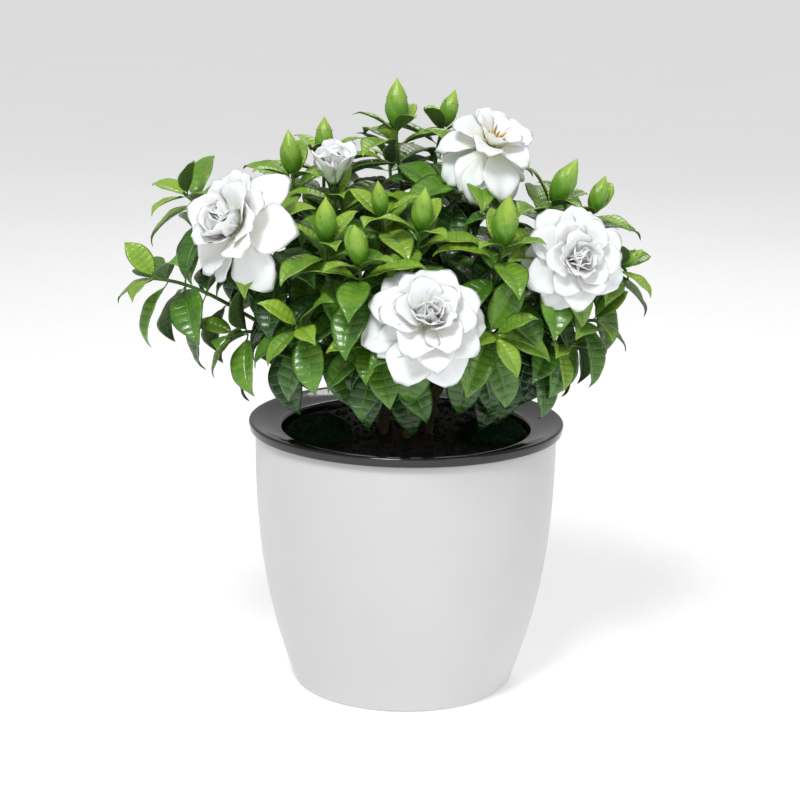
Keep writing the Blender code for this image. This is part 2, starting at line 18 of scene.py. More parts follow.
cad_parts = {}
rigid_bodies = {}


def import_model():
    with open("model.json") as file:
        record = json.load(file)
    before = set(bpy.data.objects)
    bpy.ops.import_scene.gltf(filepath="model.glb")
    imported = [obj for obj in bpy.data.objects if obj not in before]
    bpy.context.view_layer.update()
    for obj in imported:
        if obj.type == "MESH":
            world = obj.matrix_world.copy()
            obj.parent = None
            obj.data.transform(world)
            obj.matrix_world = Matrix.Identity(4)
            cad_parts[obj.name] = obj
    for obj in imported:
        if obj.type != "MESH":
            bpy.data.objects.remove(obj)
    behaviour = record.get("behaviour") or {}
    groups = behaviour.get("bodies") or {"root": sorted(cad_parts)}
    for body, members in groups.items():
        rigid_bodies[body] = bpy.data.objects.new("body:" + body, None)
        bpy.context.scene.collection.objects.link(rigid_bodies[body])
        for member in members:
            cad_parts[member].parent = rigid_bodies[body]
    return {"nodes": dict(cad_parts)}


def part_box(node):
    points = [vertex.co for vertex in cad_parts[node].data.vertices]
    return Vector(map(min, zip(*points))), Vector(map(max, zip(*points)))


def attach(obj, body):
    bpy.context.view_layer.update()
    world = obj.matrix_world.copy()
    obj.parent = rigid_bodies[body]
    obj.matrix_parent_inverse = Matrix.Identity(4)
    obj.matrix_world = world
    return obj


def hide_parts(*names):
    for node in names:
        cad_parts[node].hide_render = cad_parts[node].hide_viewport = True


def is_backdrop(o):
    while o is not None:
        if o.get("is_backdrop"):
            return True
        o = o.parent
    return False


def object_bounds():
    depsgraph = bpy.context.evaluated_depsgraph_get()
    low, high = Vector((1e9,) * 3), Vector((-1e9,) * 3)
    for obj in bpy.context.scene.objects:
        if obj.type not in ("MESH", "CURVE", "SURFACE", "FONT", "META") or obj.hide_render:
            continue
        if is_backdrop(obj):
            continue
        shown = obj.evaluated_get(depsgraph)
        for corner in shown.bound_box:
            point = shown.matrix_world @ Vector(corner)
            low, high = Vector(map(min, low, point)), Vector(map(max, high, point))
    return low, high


MM = 0.001
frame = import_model()
cad_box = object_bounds()
nodes = frame["nodes"]
pot_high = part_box("cachepot")[1]
rim_low, rim_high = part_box("liner")
soil_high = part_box("soil")[1]
print("CAD box", cad_box)

# %% [markdown]
# ## Camera and light
# The bush is looked at from slightly above, through a long lens, so the pot's sides stay
# nearly upright. One broad lamp above the front gives the leaves their bright streaks,
# a weaker one fills the shade, and a pale sky keeps the white pot clean. The sky is
# brighter to the camera than to the object, so that the backdrop is near white and the
# pot still has its shading.

# %% Camera
LENS = 94.7
CAMERA_PLACE = Vector((-0.0041, -1.3, 0.496))
LOOKED_AT = Vector((-0.0041, 0, 0.1837))
ROLL = 0.016
camera = bpy.data.objects.new("camera", bpy.data.cameras.new("camera"))
bpy.context.scene.collection.objects.link(camera)
camera.data.lens = LENS
camera.data.sensor_width = 36
camera.location = CAMERA_PLACE
looking = (LOOKED_AT - CAMERA_PLACE).to_track_quat("-Z", "Y").to_matrix()
camera.rotation_euler = (looking @ Matrix.Rotation(ROLL, 3, "Z")).to_euler()
bpy.context.scene.camera = camera
bpy.context.scene.view_settings.view_transform = "Standard"
print("lens:", LENS, "mm, distance:", round((LOOKED_AT - CAMERA_PLACE).length, 3), "m")

# %% Lamps and sky
BUSH = Vector((0, 0, 0.27))
SKY_SEEN = 0.98
SKY_LIGHT = 0.46


def lamp(name, place, size, power):
    """A round lamp, its size in metres and its power in watts, aimed at the bush."""
    light = bpy.data.lights.new(name, "AREA")
    light.shape = "DISK"
    light.size = size
    light.energy = power
    obj = bpy.data.objects.new(name, light)
    obj.location = place
    obj.rotation_euler = (BUSH - Vector(place)).to_track_quat("-Z", "Y").to_euler()
    bpy.context.scene.collection.objects.link(obj)


lamp("key_lamp", (-0.35, -1.1, 1.6), 0.55, 20)
lamp("fill_lamp", (1.2, -1.4, 0.8), 1.0, 4)
lamp("back_lamp", (0.3, 1.3, 1.6), 0.8, 7)
sky = bpy.data.worlds.new("sky")
sky.use_nodes = True
background = sky.node_tree.nodes["Background"]
background.inputs["Color"].default_value = (1.0, 1.0, 1.0, 1.0)
path_node = sky.node_tree.nodes.new("ShaderNodeLightPath")
strength = sky.node_tree.nodes.new("ShaderNodeMapRange")
strength.inputs["To Min"].default_value = SKY_LIGHT
strength.inputs["To Max"].default_value = SKY_SEEN
sky.node_tree.links.new(path_node.outputs["Is Camera Ray"], strength.inputs["Value"])
sky.node_tree.links.new(strength.outputs[0], background.inputs["Strength"])
bpy.context.scene.world = sky
print("lamps: 3, sky as seen and as light:", SKY_SEEN, SKY_LIGHT)

# %% [markdown]
# ## Shader helpers
# A finish is a small tree of nodes. These helpers add one node each and hand back its
# output, so that a finish can be written as a few readable lines.

# %% Shader helpers


def new_material(name, roughness, **plain):
    made = bpy.data.materials.new(name)
    made.use_nodes = True
    shader = made.node_tree.nodes["Principled BSDF"]
    shader.inputs["Roughness"].default_value = roughness
    for socket, value in plain.items():
        shader.inputs[socket.replace("_", " ")].default_value = value
    return made, made.node_tree, shader


def node(tree, kind, links=None, **settings):
    """Adds a node, sets its properties, and links or fills its inputs."""
    made = tree.nodes.new(kind)
    for key, value in settings.items():
        setattr(made, key, value)
    for key, value in (links or {}).items():
        if isinstance(value, bpy.types.NodeSocket):
            tree.links.new(value, made.inputs[key])
        else:
            made.inputs[key].default_value = value
    return made


def math(tree, operation, a, b=0.0):
    return node(tree, "ShaderNodeMath", {0: a, 1: b}, operation=operation).outputs[0]


def spread(tree, value, low, high, to_low=0.0, to_high=1.0):
    links = {"Value": value, 1: low, 2: high, 3: to_low, 4: to_high}
    return node(tree, "ShaderNodeMapRange", links, interpolation_type="SMOOTHSTEP").outputs[0]


def blend(tree, factor, a, b):
    made = node(tree, "ShaderNodeMix", data_type="RGBA")
    for index, value in ((0, factor), (6, a), (7, b)):
        if isinstance(value, bpy.types.NodeSocket):
            tree.links.new(value, made.inputs[index])
        else:
            made.inputs[index].default_value = value if index == 0 else (*value, 1.0)
    return made.outputs[2]


def ramp(tree, factor, stops):
    made = node(tree, "ShaderNodeValToRGB", {0: factor})
    places = made.color_ramp.elements
    while len(places) < len(stops):
        places.new(0.5)
    for place, (position, colour) in zip(places, stops):
        place.position = position
        place.color = (*colour, 1.0)
    return made.outputs[0]


def bump(tree, shader, height, distance, strength=1.0):
    made = node(tree, "ShaderNodeBump", {"Height": height, "Distance": distance, "Strength": strength})
    tree.links.new(made.outputs[0], shader.inputs["Normal"])


def paint(tree, shader, socket, value):
    tree.links.new(value, shader.inputs[socket])


print("shader helpers: new_material, node, math, spread, blend, ramp, bump, paint")

# %% [markdown]
# ## The mottle group
# Most finishes here vary in the same way: soft patches, finer specks and a little relief.
# Noise at two sizes gives all three. It is one node group, which each material uses with
# its own sizes.

# %% The mottle group


def make_mottle():
    """Patches (0 to 1), specks (0 to 1) and a height, from noise at two sizes."""
    tree = bpy.data.node_groups.new("mottle", "ShaderNodeTree")
    face = tree.interface
    face.new_socket("Position", in_out="INPUT", socket_type="NodeSocketVector")
    for name, value in (("Patch Scale", 20.0), ("Speck Scale", 400.0)):
        face.new_socket(name, in_out="INPUT", socket_type="NodeSocketFloat").default_value = value
    for name in ("Patches", "Specks", "Height"):
        face.new_socket(name, in_out="OUTPUT", socket_type="NodeSocketFloat")
    given = node(tree, "NodeGroupInput")
    result = node(tree, "NodeGroupOutput")
    noises = []
    for scale in ("Patch Scale", "Speck Scale"):
        links = {"Vector": given.outputs["Position"], "Scale": given.outputs[scale], "Detail": 3.0}
        noises.append(node(tree, "ShaderNodeTexNoise", links).outputs[0])
    tree.links.new(spread(tree, noises[0], 0.3, 0.7), result.inputs["Patches"])
    tree.links.new(spread(tree, noises[1], 0.35, 0.65), result.inputs["Specks"])
    tree.links.new(math(tree, "ADD", noises[0], noises[1]), result.inputs["Height"])
    return tree


MOTTLE = make_mottle()


def mottle(tree, patch, speck, place=None):
    place = place or node(tree, "ShaderNodeTexCoord").outputs["Object"]
    links = {"Position": place, "Patch Scale": patch, "Speck Scale": speck}
    made = node(tree, "ShaderNodeGroup", links, node_tree=MOTTLE)
    return made.outputs["Patches"], made.outputs["Specks"], made.outputs["Height"]


print("mottle group:", [item.name for item in MOTTLE.interface.items_tree])

# %% [markdown]
# ## Plastic finishes
# The plastics are moulded: nearly even, with a faint unevenness that breaks up the
# reflections. The white one is satin and the black one polished, and otherwise they are
# the same finish with other values.

# %% Plastic finishes


def plastic(name, plain_roughness, specular, patch, speck, tones, roughness, relief):
    """A moulded plastic. tones and roughness are what it varies between, relief how far and how much."""
    made, tree, shader = new_material(name, plain_roughness, Specular_IOR_Level=specular)
    patches, specks, height = mottle(tree, patch, speck)
    paint(tree, shader, "Base Color", blend(tree, patches, *tones))
    paint(tree, shader, "Roughness", spread(tree, specks, 0, 1, *roughness))
    bump(tree, shader, height, *relief)
    return made


PALE = ((0.60, 0.60, 0.605), (0.63, 0.63, 0.63))
DARK = ((0.006, 0.006, 0.006), (0.012, 0.012, 0.012))
WHITE = plastic("white_plastic", 0.34, 0.45, 9.0, 900.0, PALE, (0.30, 0.38), (0.00004, 0.25))
BLACK = plastic("black_plastic", 0.1, 0.6, 14.0, 700.0, DARK, (0.06, 0.13), (0.00003, 0.2))
print("plastics:", WHITE.name, BLACK.name)

# %% [markdown]
# ## Leaf finish
# The living parts read the UV map and the attributes that their meshes carry: how old a leaf is, together
# with painted light, and which side faces down. A leaf darkens with age, and painted light makes it lighter
# high up and towards the front and darker low down and at the back. Its veins are pale sunk lines, drawn from
# the UV map, so they lie exactly between the bulges of the mesh.

# %% Leaf finish


def uv_of(tree):
    made = node(tree, "ShaderNodeUVMap", uv_map="UVMap")
    parts = node(tree, "ShaderNodeSeparateXYZ", {0: made.outputs[0]})
    return parts.outputs["X"], parts.outputs["Y"]


def attribute(tree, name):
    return node(tree, "ShaderNodeAttribute", attribute_name=name).outputs["Fac"]


def leaf_finish():
    """The side veins lie where the first UV number is whole, the midrib where the second is 0."""
    made, tree, shader = new_material("leaf", 0.3, Specular_IOR_Level=0.7)
    row, across = uv_of(tree)
    away = math(tree, "ABSOLUTE", across)
    from_vein = math(tree, "PINGPONG", row, 0.5)
    vein = spread(tree, from_vein, 0.0, 0.11, 1.0, 0.0)
    midrib = spread(tree, away, 0.02, 0.09, 1.0, 0.0)
    lines = math(tree, "MAXIMUM", math(tree, "MULTIPLY", vein, 0.55), midrib)
    patches, specks, height = mottle(tree, 90.0, 1300.0)
    # The tint attribute holds a leaf's age together with painted light: lighter high up and at the front,
    # darker low and at the back.
    age_and_painted_light = math(tree, "ADD", attribute(tree, "tint"), math(tree, "MULTIPLY", patches, 0.16))
    greens = (
        (0.0, (0.006, 0.030, 0.007)),
        (0.35, (0.020, 0.090, 0.010)),
        (0.65, (0.085, 0.230, 0.014)),
        (1.0, (0.270, 0.450, 0.035)),
    )
    blade = ramp(tree, age_and_painted_light, greens)
    veined = blend(tree, math(tree, "MULTIPLY", lines, 0.45), blade, (0.20, 0.33, 0.07))
    under = attribute(tree, "under")
    below = blend(tree, lines, (0.060, 0.125, 0.028), (0.14, 0.21, 0.06))
    paint(tree, shader, "Base Color", blend(tree, under, veined, below))
    shine = math(tree, "ADD", spread(tree, specks, 0, 1, 0.22, 0.32), math(tree, "MULTIPLY", under, 0.25))
    paint(tree, shader, "Roughness", shine)
    relief = math(tree, "SUBTRACT", math(tree, "MULTIPLY", height, 0.22), lines)
    bump(tree, shader, relief, 0.0005, 0.7)
    return made


LEAF = leaf_finish()
print("nodes in the leaf's finish:", len(LEAF.node_tree.nodes))

# %% [markdown]
# ## Petal and bud finishes
# Petals are matte and let a little light into them. They are white, with cream at the base that is partly
# their own colour and partly painted shade, stronger the deeper a petal stands in the flower, and fine ribs
# that run along them. A bud's skin is green, paler to the tip and along each petal's edge.

# %% Petal and bud finishes


def petal_finish():
    made, tree, shader = new_material("petal", 0.5, Subsurface_Weight=0.12, Subsurface_Scale=0.004)
    along, across = uv_of(tree)
    depth = attribute(tree, "tint")
    ribs = {0: math(tree, "MULTIPLY", along, 1.5), 1: math(tree, "MULTIPLY", across, 14.0)}
    place = node(tree, "ShaderNodeCombineXYZ", ribs)
    patches, specks, height = mottle(tree, 1.6, 6.0, place.outputs[0])
    base = spread(tree, along, 0.0, 0.65, 1.0, 0.0)
    # Cream towards the base, stronger in the deeper whorls: partly the petal's own colour, partly painted
    # shade inside the flower.
    cream_and_painted_shade = math(tree, "MULTIPLY", base, math(tree, "ADD", 0.25, math(tree, "MULTIPLY", depth, 0.75)))
    white = blend(tree, patches, (0.90, 0.905, 0.91), (0.94, 0.94, 0.935))
    paint(tree, shader, "Base Color", blend(tree, cream_and_painted_shade, white, (0.86, 0.84, 0.52)))
    paint(tree, shader, "Roughness", spread(tree, specks, 0, 1, 0.45, 0.6))
    bump(tree, shader, height, 0.0003, 0.35)
    return made


def bud_finish():
    made, tree, shader = new_material("bud", 0.34, Specular_IOR_Level=0.5)
    along, across = uv_of(tree)
    patches, specks, height = mottle(tree, 130.0, 1500.0)
    tone = math(tree, "ADD", along, math(tree, "MULTIPLY", patches, 0.2))
    edge = spread(tree, math(tree, "FRACT", across), 0.0, 0.16, 1.0, 0.0)
    greens = (
        (0.05, (0.030, 0.120, 0.010)),
        (0.45, (0.110, 0.280, 0.018)),
        (1.0, (0.330, 0.500, 0.060)),
    )
    skin = ramp(tree, tone, greens)
    edged = blend(tree, math(tree, "MULTIPLY", edge, 0.5), skin, (0.45, 0.60, 0.16))
    paint(tree, shader, "Base Color", edged)
    paint(tree, shader, "Roughness", spread(tree, specks, 0, 1, 0.28, 0.42))
    bump(tree, shader, height, 0.0003, 0.3)
    return made


PETAL = petal_finish()
BUD = bud_finish()
print("flower finishes:", PETAL.name, BUD.name)

# %% [markdown]
# ## Wood, soil, moss and floor finishes
# These are matte and broken up, so one function of two colours makes them all.

# %% Wood, soil, moss and floor finishes


def mixed_finish(name, dark, light, patch, speck, roughness, relief):
    """A matte finish of two colours, broken up by patches and specks."""
    made, tree, shader = new_material(name, roughness, Specular_IOR_Level=0.3)
    patches, specks, height = mottle(tree, patch, speck)
    broken = math(tree, "MULTIPLY", math(tree, "ADD", patches, specks), 0.5)
    paint(tree, shader, "Base Color", blend(tree, broken, dark, light))
    paint(tree, shader, "Roughness", spread(tree, specks, 0, 1, roughness - 0.1, roughness))
    bump(tree, shader, height, relief, 0.8)
    return made


BARK = mixed_finish("bark", (0.030, 0.022, 0.010), (0.110, 0.095, 0.045), 60, 500, 0.75, 0.0006)
TWIG = mixed_finish("twig", (0.030, 0.090, 0.012), (0.090, 0.190, 0.025), 80, 700, 0.55, 0.0003)
# The soil's own dark colour is pushed to near black, which paints the shade under the bush onto it.
SOIL_AND_PAINTED_SHADE = mixed_finish("soil", (0.004, 0.003, 0.002), (0.022, 0.015, 0.010), 90, 900, 0.95, 0.0010)
MOSS = mixed_finish("moss", (0.003, 0.016, 0.006), (0.018, 0.075, 0.026), 120, 900, 0.9, 0.0006)
ANTHER = mixed_finish("anther", (0.30, 0.13, 0.015), (0.60, 0.36, 0.07), 200, 1500, 0.7, 0.0002)
FLOOR = mixed_finish("floor", (0.86, 0.86, 0.86), (0.90, 0.90, 0.90), 3, 60, 0.8, 0.0001)
print("matte finishes:", [m.name for m in (BARK, TWIG, SOIL_AND_PAINTED_SHADE, MOSS, ANTHER, FLOOR)])

# %% [markdown]
# ## Floor
# A pale plane reaches far behind the pot. It glows a little, so that it stays as light as
# the sky without brighter lamps, which would burn out the petals.

# %% Floor
FLOOR_SIZE = 14
FLOOR_CENTRE = (0, 4.5, 0)
FLOOR_GLOW = 0.30
bpy.ops.mesh.primitive_plane_add(size=FLOOR_SIZE, location=FLOOR_CENTRE)
floor = bpy.context.active_object
floor.name = "floor"
floor.data.materials.append(FLOOR)
glow = FLOOR.node_tree.nodes["Principled BSDF"].inputs
glow["Emission Color"].default_value = (1.0, 1.0, 1.0, 1.0)
glow["Emission Strength"].default_value = FLOOR_GLOW
floor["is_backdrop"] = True
print("floor:", FLOOR_SIZE, "m wide")

# %% [markdown]
# ## Turned pieces and rods
# A pot is a profile turned round its axis, and a twig is a ring of points carried along a
# path. Both are rows of rings, so one function closes the rows into a skin.

# %% Turned pieces and rods


def circle(count, shift=0):
    """Even angles round a circle. A shift of 0.5 puts them between the unshifted ones."""
    return [2 * pi * (i + shift) / count for i in range(count)]


def add_object(name, mesh, *finishes):
    for finish in finishes:
        mesh.materials.append(finish)
    obj = bpy.data.objects.new(name, mesh)
    bpy.context.scene.collection.objects.link(obj)
    return obj


def mesh_from(name, verts, faces, uvs=None, under=None):
    """A smooth mesh. uvs gives each vertex its UV, under each vertex its share of underside."""
    mesh = bpy.data.meshes.new(name)
    mesh.from_pydata(verts, [], faces)
    if uvs:
        layer = mesh.uv_layers.new(name="UVMap")
        for loop in mesh.loops:
            layer.data[loop.index].uv = uvs[loop.vertex_index]
    if under:
        mesh.attributes.new("under", "FLOAT", "POINT").data.foreach_set("value", under)
    mesh.shade_smooth()
    mesh.update()
    return mesh


def rings_mesh(name, rings, uvs=None):
    """Closes rows of equally many points round an axis into a skin, with a fan at each end."""
    count = len(rings[0])
    verts = [point for ring in rings for point in ring]
    faces = []
    for k in range(len(rings) - 1):
        for i in range(count):
            j = (i + 1) % count
            faces.append((k * count + i, k * count + j, (k + 1) * count + j, (k + 1) * count + i))
    ends = [sum((Vector(p) for p in ring), Vector()) / count for ring in (rings[0], rings[-1])]
    start, stop = len(verts), len(verts) + 1
    last = (len(rings) - 1) * count
    faces += [((i + 1) % count, i, start) for i in range(count)]
    faces += [(last + i, last + (i + 1) % count, stop) for i in range(count)]
    verts += ends
    if uvs:
        uvs = uvs + [uvs[0], uvs[-1]]
    return mesh_from(name, verts, faces, uvs)


def lathe(name, profile, steps):
    """Turns (radius, height) points, run up the outside from the bottom centre, round Z."""
    rings = [[(r * cos(a), r * sin(a), z) for a in circle(steps)] for r, z in profile[1:-1]]
    return rings_mesh(name, rings)


def rod(name, path, radii, sides):
    """A round rod along a path, with the same twist-free frame carried from point to point."""
    rings = []
    across = (path[1] - path[0]).orthogonal().normalized()
    for k, place in enumerate(path):
        ahead = path[min(k + 1, len(path) - 1)] - path[max(k - 1, 0)]
        ahead.normalize()
        across = (across - ahead * across.dot(ahead)).normalized()
        other = ahead.cross(across)
        rings.append([place + (across * cos(a) + other * sin(a)) * radii[k] for a in circle(sides)])
    return rings_mesh(name, rings)


print("angles of a circle in quarters:", [round(a, 2) for a in circle(4)])

# %% [markdown]
# ## Blades
# Leaves and petals are blades: a surface function of two numbers, from base to tip and
# from edge to edge. It is sampled once and moved half a thickness to each side, and the
# two sheets are sewn at the edge, which leaves a thin closed solid with a sharp rim.

# %% Blades
SLOPE_STEP = 0.002


def blade_mesh(name, surface, rows, columns, thickness, uv_of_point):
    """Two sheets of surface(u, v), half a thickness to each side, that meet at the edge."""
    tops, bottoms, uvs = [], [], []
    for i in range(rows + 1):
        for j in range(columns + 1):
            u, v = i / rows, 2 * j / columns - 1
            place = surface(u, v)
            du = surface(min(u + SLOPE_STEP, 1), v) - surface(max(u - SLOPE_STEP, 0), v)
            dv = surface(u, min(v + SLOPE_STEP, 1)) - surface(u, max(v - SLOPE_STEP, -1))
            normal = du.cross(dv)
            normal = normal.normalized() if normal.length > 1e-12 else Vector((0, 0, 1))
            on_edge = i in (0, rows) or j in (0, columns)
            half = normal * (0 if on_edge else thickness / 2)
            tops.append(place + half)
            bottoms.append(None if on_edge else place - half)
            uvs.append(uv_of_point(u, v))
    verts, under = list(tops), [0.0] * len(tops)
    index = list(range(len(tops)))
    for k, bottom in enumerate(bottoms):
        if bottom is not None:
            index[k] = len(verts)
            verts.append(bottom)
            under.append(1.0)
            uvs.append(uvs[k])
    faces = []
    width = columns + 1
    for i in range(rows):
        for j in range(columns):
            a, b = i * width + j, (i + 1) * width + j
            c, d = b + 1, a + 1
            faces.append((a, b, c, d))
            faces.append((index[d], index[c], index[b], index[a]))
    return mesh_from(name, verts, faces, uvs, under)


print("a blade's slope is taken over", SLOPE_STEP, "of its length")

# %% [markdown]
# ## Joining and handing in
# One piece often has parts of several meshes and finishes, such as petals on a green
# calyx. They are joined as plain lists, which keeps the UV map and the attributes, and
# the finished piece is handed to the frame in place of its CAD node.

# %% Joining and handing in


def joined(name, meshes, finishes):
    """One object from several meshes, the materials in the order of the finishes."""
    verts, faces, slots, uvs, under, tint = [], [], [], [], [], []
    for number, mesh in meshes:
        first = len(verts)
        verts += [v.co.copy() for v in mesh.vertices]
        faces += [[first + i for i in face.vertices] for face in mesh.polygons]
        slots += [number] * len(mesh.polygons)
        layer = mesh.uv_layers.get("UVMap")
        uvs += [tuple(layer.data[k].uv) if layer else (0.5, 0.5) for k in range(len(mesh.loops))]
        for kept, key in ((under, "under"), (tint, "tint")):
            values = [0.0] * len(mesh.vertices)
            if key in mesh.attributes:
                mesh.attributes[key].data.foreach_get("value", values)
            kept += values
    mesh = bpy.data.meshes.new(name)
    mesh.from_pydata(verts, [], faces)
    layer = mesh.uv_layers.new(name="UVMap")
    layer.data.foreach_set("uv", [number for uv in uvs for number in uv])
    mesh.attributes.new("under", "FLOAT", "POINT").data.foreach_set("value", under)
    mesh.attributes.new("tint", "FLOAT", "POINT").data.foreach_set("value", tint)
    mesh.polygons.foreach_set("material_index", slots)
    mesh.shade_smooth()
    mesh.update()
    return add_object(name, mesh, *finishes)


def keep(obj, cad_node):
    """Hands a finished piece to the frame, in place of a CAD node."""
    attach(obj, "root")
    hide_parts(cad_node)


print("nodes to finish:", len(nodes))

# %% [markdown]
# ## Copies on points
# Leaves, petals, crumbs of soil and moss are a few shapes repeated many times. One
# Geometry Nodes tree does them all: it puts a shape from a collection on each point of
# a mesh, turned, sized and picked by the point's own attributes, and makes it real.

# %% The tree of copies


def copies_tree():
    tree = bpy.data.node_groups.new("copies_on_points", "GeometryNodeTree")
    face = tree.interface
    face.new_socket("Points", in_out="INPUT", socket_type="NodeSocketGeometry")
    face.new_socket("Shapes", in_out="INPUT", socket_type="NodeSocketCollection")
    face.new_socket("Size", in_out="INPUT", socket_type="NodeSocketFloat").default_value = 1.0
    face.new_socket("Finish", in_out="INPUT", socket_type="NodeSocketMaterial")
    face.new_socket("Copies", in_out="OUTPUT", socket_type="NodeSocketGeometry")
    given = node(tree, "NodeGroupInput")
    result = node(tree, "NodeGroupOutput")
    shapes = node(tree, "GeometryNodeCollectionInfo", {0: given.outputs["Shapes"], 1: True, 2: True})
    turn = node(tree, "GeometryNodeInputNamedAttribute", {"Name": "turn"}, data_type="FLOAT_VECTOR")
    kind = node(tree, "GeometryNodeInputNamedAttribute", {"Name": "kind"}, data_type="INT")
    size = node(tree, "GeometryNodeInputNamedAttribute", {"Name": "size"}, data_type="FLOAT")
    rotation = node(tree, "FunctionNodeEulerToRotation", {0: turn.outputs[0]})
    scale = node(tree, "ShaderNodeMath", {0: size.outputs[0], 1: given.outputs["Size"]}, operation="MULTIPLY")
    copies = node(
        tree,
        "GeometryNodeInstanceOnPoints",
        {
            "Points": given.outputs["Points"],
            "Instance": shapes.outputs[0],
            "Pick Instance": True,
            "Instance Index": kind.outputs[0],
            "Rotation": rotation.outputs[0],
            "Scale": scale.outputs[0],
        },
    )
    real = node(tree, "GeometryNodeRealizeInstances", {0: copies.outputs[0]})
    finish = {0: real.outputs[0], "Material": given.outputs["Finish"]}
    finished = node(tree, "GeometryNodeSetMaterial", finish)
    tree.links.new(finished.outputs[0], result.inputs[0])
    return tree


COPIES = copies_tree()
SOCKETS = {item.name: item.identifier for item in COPIES.interface.items_tree if item.in_out == "INPUT"}


def shapes_collection(name, meshes):
    """The shapes to copy, which sort by name, so their numbers are padded."""
    group = bpy.data.collections.new(name)
    bpy.context.scene.collection.children.link(group)
    for number, mesh in enumerate(meshes):
        group.objects.link(bpy.data.objects.new(f"{name}_{number:02d}", mesh))
    return group


def copies(name, places, group, finish):
    """places: (position, rotation matrix, size, kind, tint). Returns a plain mesh."""
    mesh = bpy.data.meshes.new(name)
    mesh.from_pydata([place[0] for place in places], [], [])
    turns = [number for place in places for number in place[1].to_euler()]
    mesh.attributes.new("turn", "FLOAT_VECTOR", "POINT").data.foreach_set("vector", turns)
    for key, kind, column in (("size", "FLOAT", 2), ("kind", "INT", 3), ("tint", "FLOAT", 4)):
        mesh.attributes.new(key, kind, "POINT").data.foreach_set("value", [p[column] for p in places])
    obj = bpy.data.objects.new(name, mesh)
    modifier = obj.modifiers.new("Copies", "NODES")
    modifier.node_group = COPIES
    modifier[SOCKETS["Shapes"]] = group
    modifier[SOCKETS["Size"]] = 1.0
    modifier[SOCKETS["Finish"]] = finish
    bpy.context.scene.collection.objects.link(obj)
    graph = bpy.context.evaluated_depsgraph_get()
    made = bpy.data.meshes.new_from_object(obj.evaluated_get(graph))
    bpy.data.objects.remove(obj, do_unlink=True)
    made.shade_smooth()
    return made


print("inputs of the tree:", SOCKETS)

# %% [markdown]
# ## The two pots
# Both are turned. The white cachepot is nearly upright at the top and swings in towards a
# rounded foot. The black liner hangs in it by a broad flange, which dishes towards the
# soil and turns down over the cachepot's lip, so only a white line shows below it.

# %% Cachepot
POT_HEIGHT = pot_high[2]
POT_TOP_RADIUS = pot_high[0]
POT_FOOT_RADIUS = 69.5 * MM
POT_TAPER_POWER = 2.5
POT_FOOT_ROUNDING = 5 * MM
POT_WALL = 2.4 * MM
POT_LIP = 1.2 * MM
POT_STEPS = 160
WALL_STEPS = 40


def pot_radius(height):
    share = (1 - height / POT_HEIGHT) ** POT_TAPER_POWER
    return POT_TOP_RADIUS - (POT_TOP_RADIUS - POT_FOOT_RADIUS) * share


def arc(centre, radius, start, end, steps=6):
    """Points of an arc in the profile's plane, its angles in degrees from +X."""
    angles = [radians(start + (end - start) * i / steps) for i in range(steps + 1)]
    return [(centre[0] + radius * cos(a), centre[1] + radius * sin(a)) for a in angles]


foot = pot_radius(POT_FOOT_ROUNDING) - POT_FOOT_ROUNDING
straight = POT_HEIGHT - 1 * MM - POT_FOOT_ROUNDING
heights = [POT_FOOT_ROUNDING + straight * i / WALL_STEPS for i in range(WALL_STEPS + 1)]
profile = [(0, 0), (0.001, 0), (foot * 0.5, 0)]
profile += arc((foot, POT_FOOT_ROUNDING), POT_FOOT_ROUNDING, -90, -8)
profile += [(pot_radius(z), z) for z in heights[1:]]
profile += arc((POT_TOP_RADIUS - POT_LIP, POT_HEIGHT - POT_LIP), POT_LIP, 20, 160)
profile += [(pot_radius(z) - POT_WALL, z) for z in reversed(heights[1:-1:3])]
profile += [(foot, POT_WALL), (foot * 0.5, POT_WALL), (0.001, POT_WALL), (0, POT_WALL)]
keep(add_object("white_pot", lathe("white_pot", profile, POT_STEPS), WHITE), "cachepot")
print("cachepot:", round(POT_HEIGHT, 4), "m high")

# %% Liner
RIM_RADIUS = rim_high[0]
RIM_TOP = rim_high[2]
SKIRT_DEPTH = 5.5 * MM
FLANGE_INNER_RADIUS = 80 * MM
FLANGE_DROP = 4.5 * MM
LINER_WALL = 2.0 * MM
LINER_FLOOR = rim_low[2]
LINER_FLOOR_RADIUS = 58 * MM
LINER_FOOT_ROUNDING = 2 * MM
RIM_ROUNDING = 1.3 * MM
THROAT_DEPTH = 12 * MM
DISH_STEPS = 8
DISH_POWER = 1.25

flange_low = RIM_TOP - FLANGE_DROP
seat = POT_HEIGHT + 0.3 * MM
foot = LINER_FLOOR_RADIUS - LINER_FOOT_ROUNDING
profile = [(0, LINER_FLOOR), (0.001, LINER_FLOOR), (foot, LINER_FLOOR)]
profile += arc((foot, LINER_FLOOR + LINER_FOOT_ROUNDING), LINER_FOOT_ROUNDING, -80, -10)
profile += [(FLANGE_INNER_RADIUS, flange_low - THROAT_DEPTH)]
profile += [(FLANGE_INNER_RADIUS + LINER_WALL, flange_low - LINER_WALL)]
profile += [(FLANGE_INNER_RADIUS + 9 * MM, seat), (RIM_RADIUS - 1.8 * MM, seat)]
profile += [(RIM_RADIUS - 1.8 * MM, RIM_TOP - SKIRT_DEPTH + 0.3 * MM)]
profile += arc((RIM_RADIUS - 1.1 * MM, RIM_TOP - SKIRT_DEPTH + 0.4 * MM), 0.6 * MM, 200, 350)
profile += arc((RIM_RADIUS - RIM_ROUNDING, RIM_TOP - RIM_ROUNDING), RIM_ROUNDING, 5, 95, 8)
outer = RIM_RADIUS - 2 * MM
for i in range(1, DISH_STEPS + 1):
    share = i / DISH_STEPS
    dish = flange_low + (RIM_TOP - flange_low) * (1 - share) ** DISH_POWER
    profile.append((outer - (outer - FLANGE_INNER_RADIUS - 1.5 * MM) * share, dish))
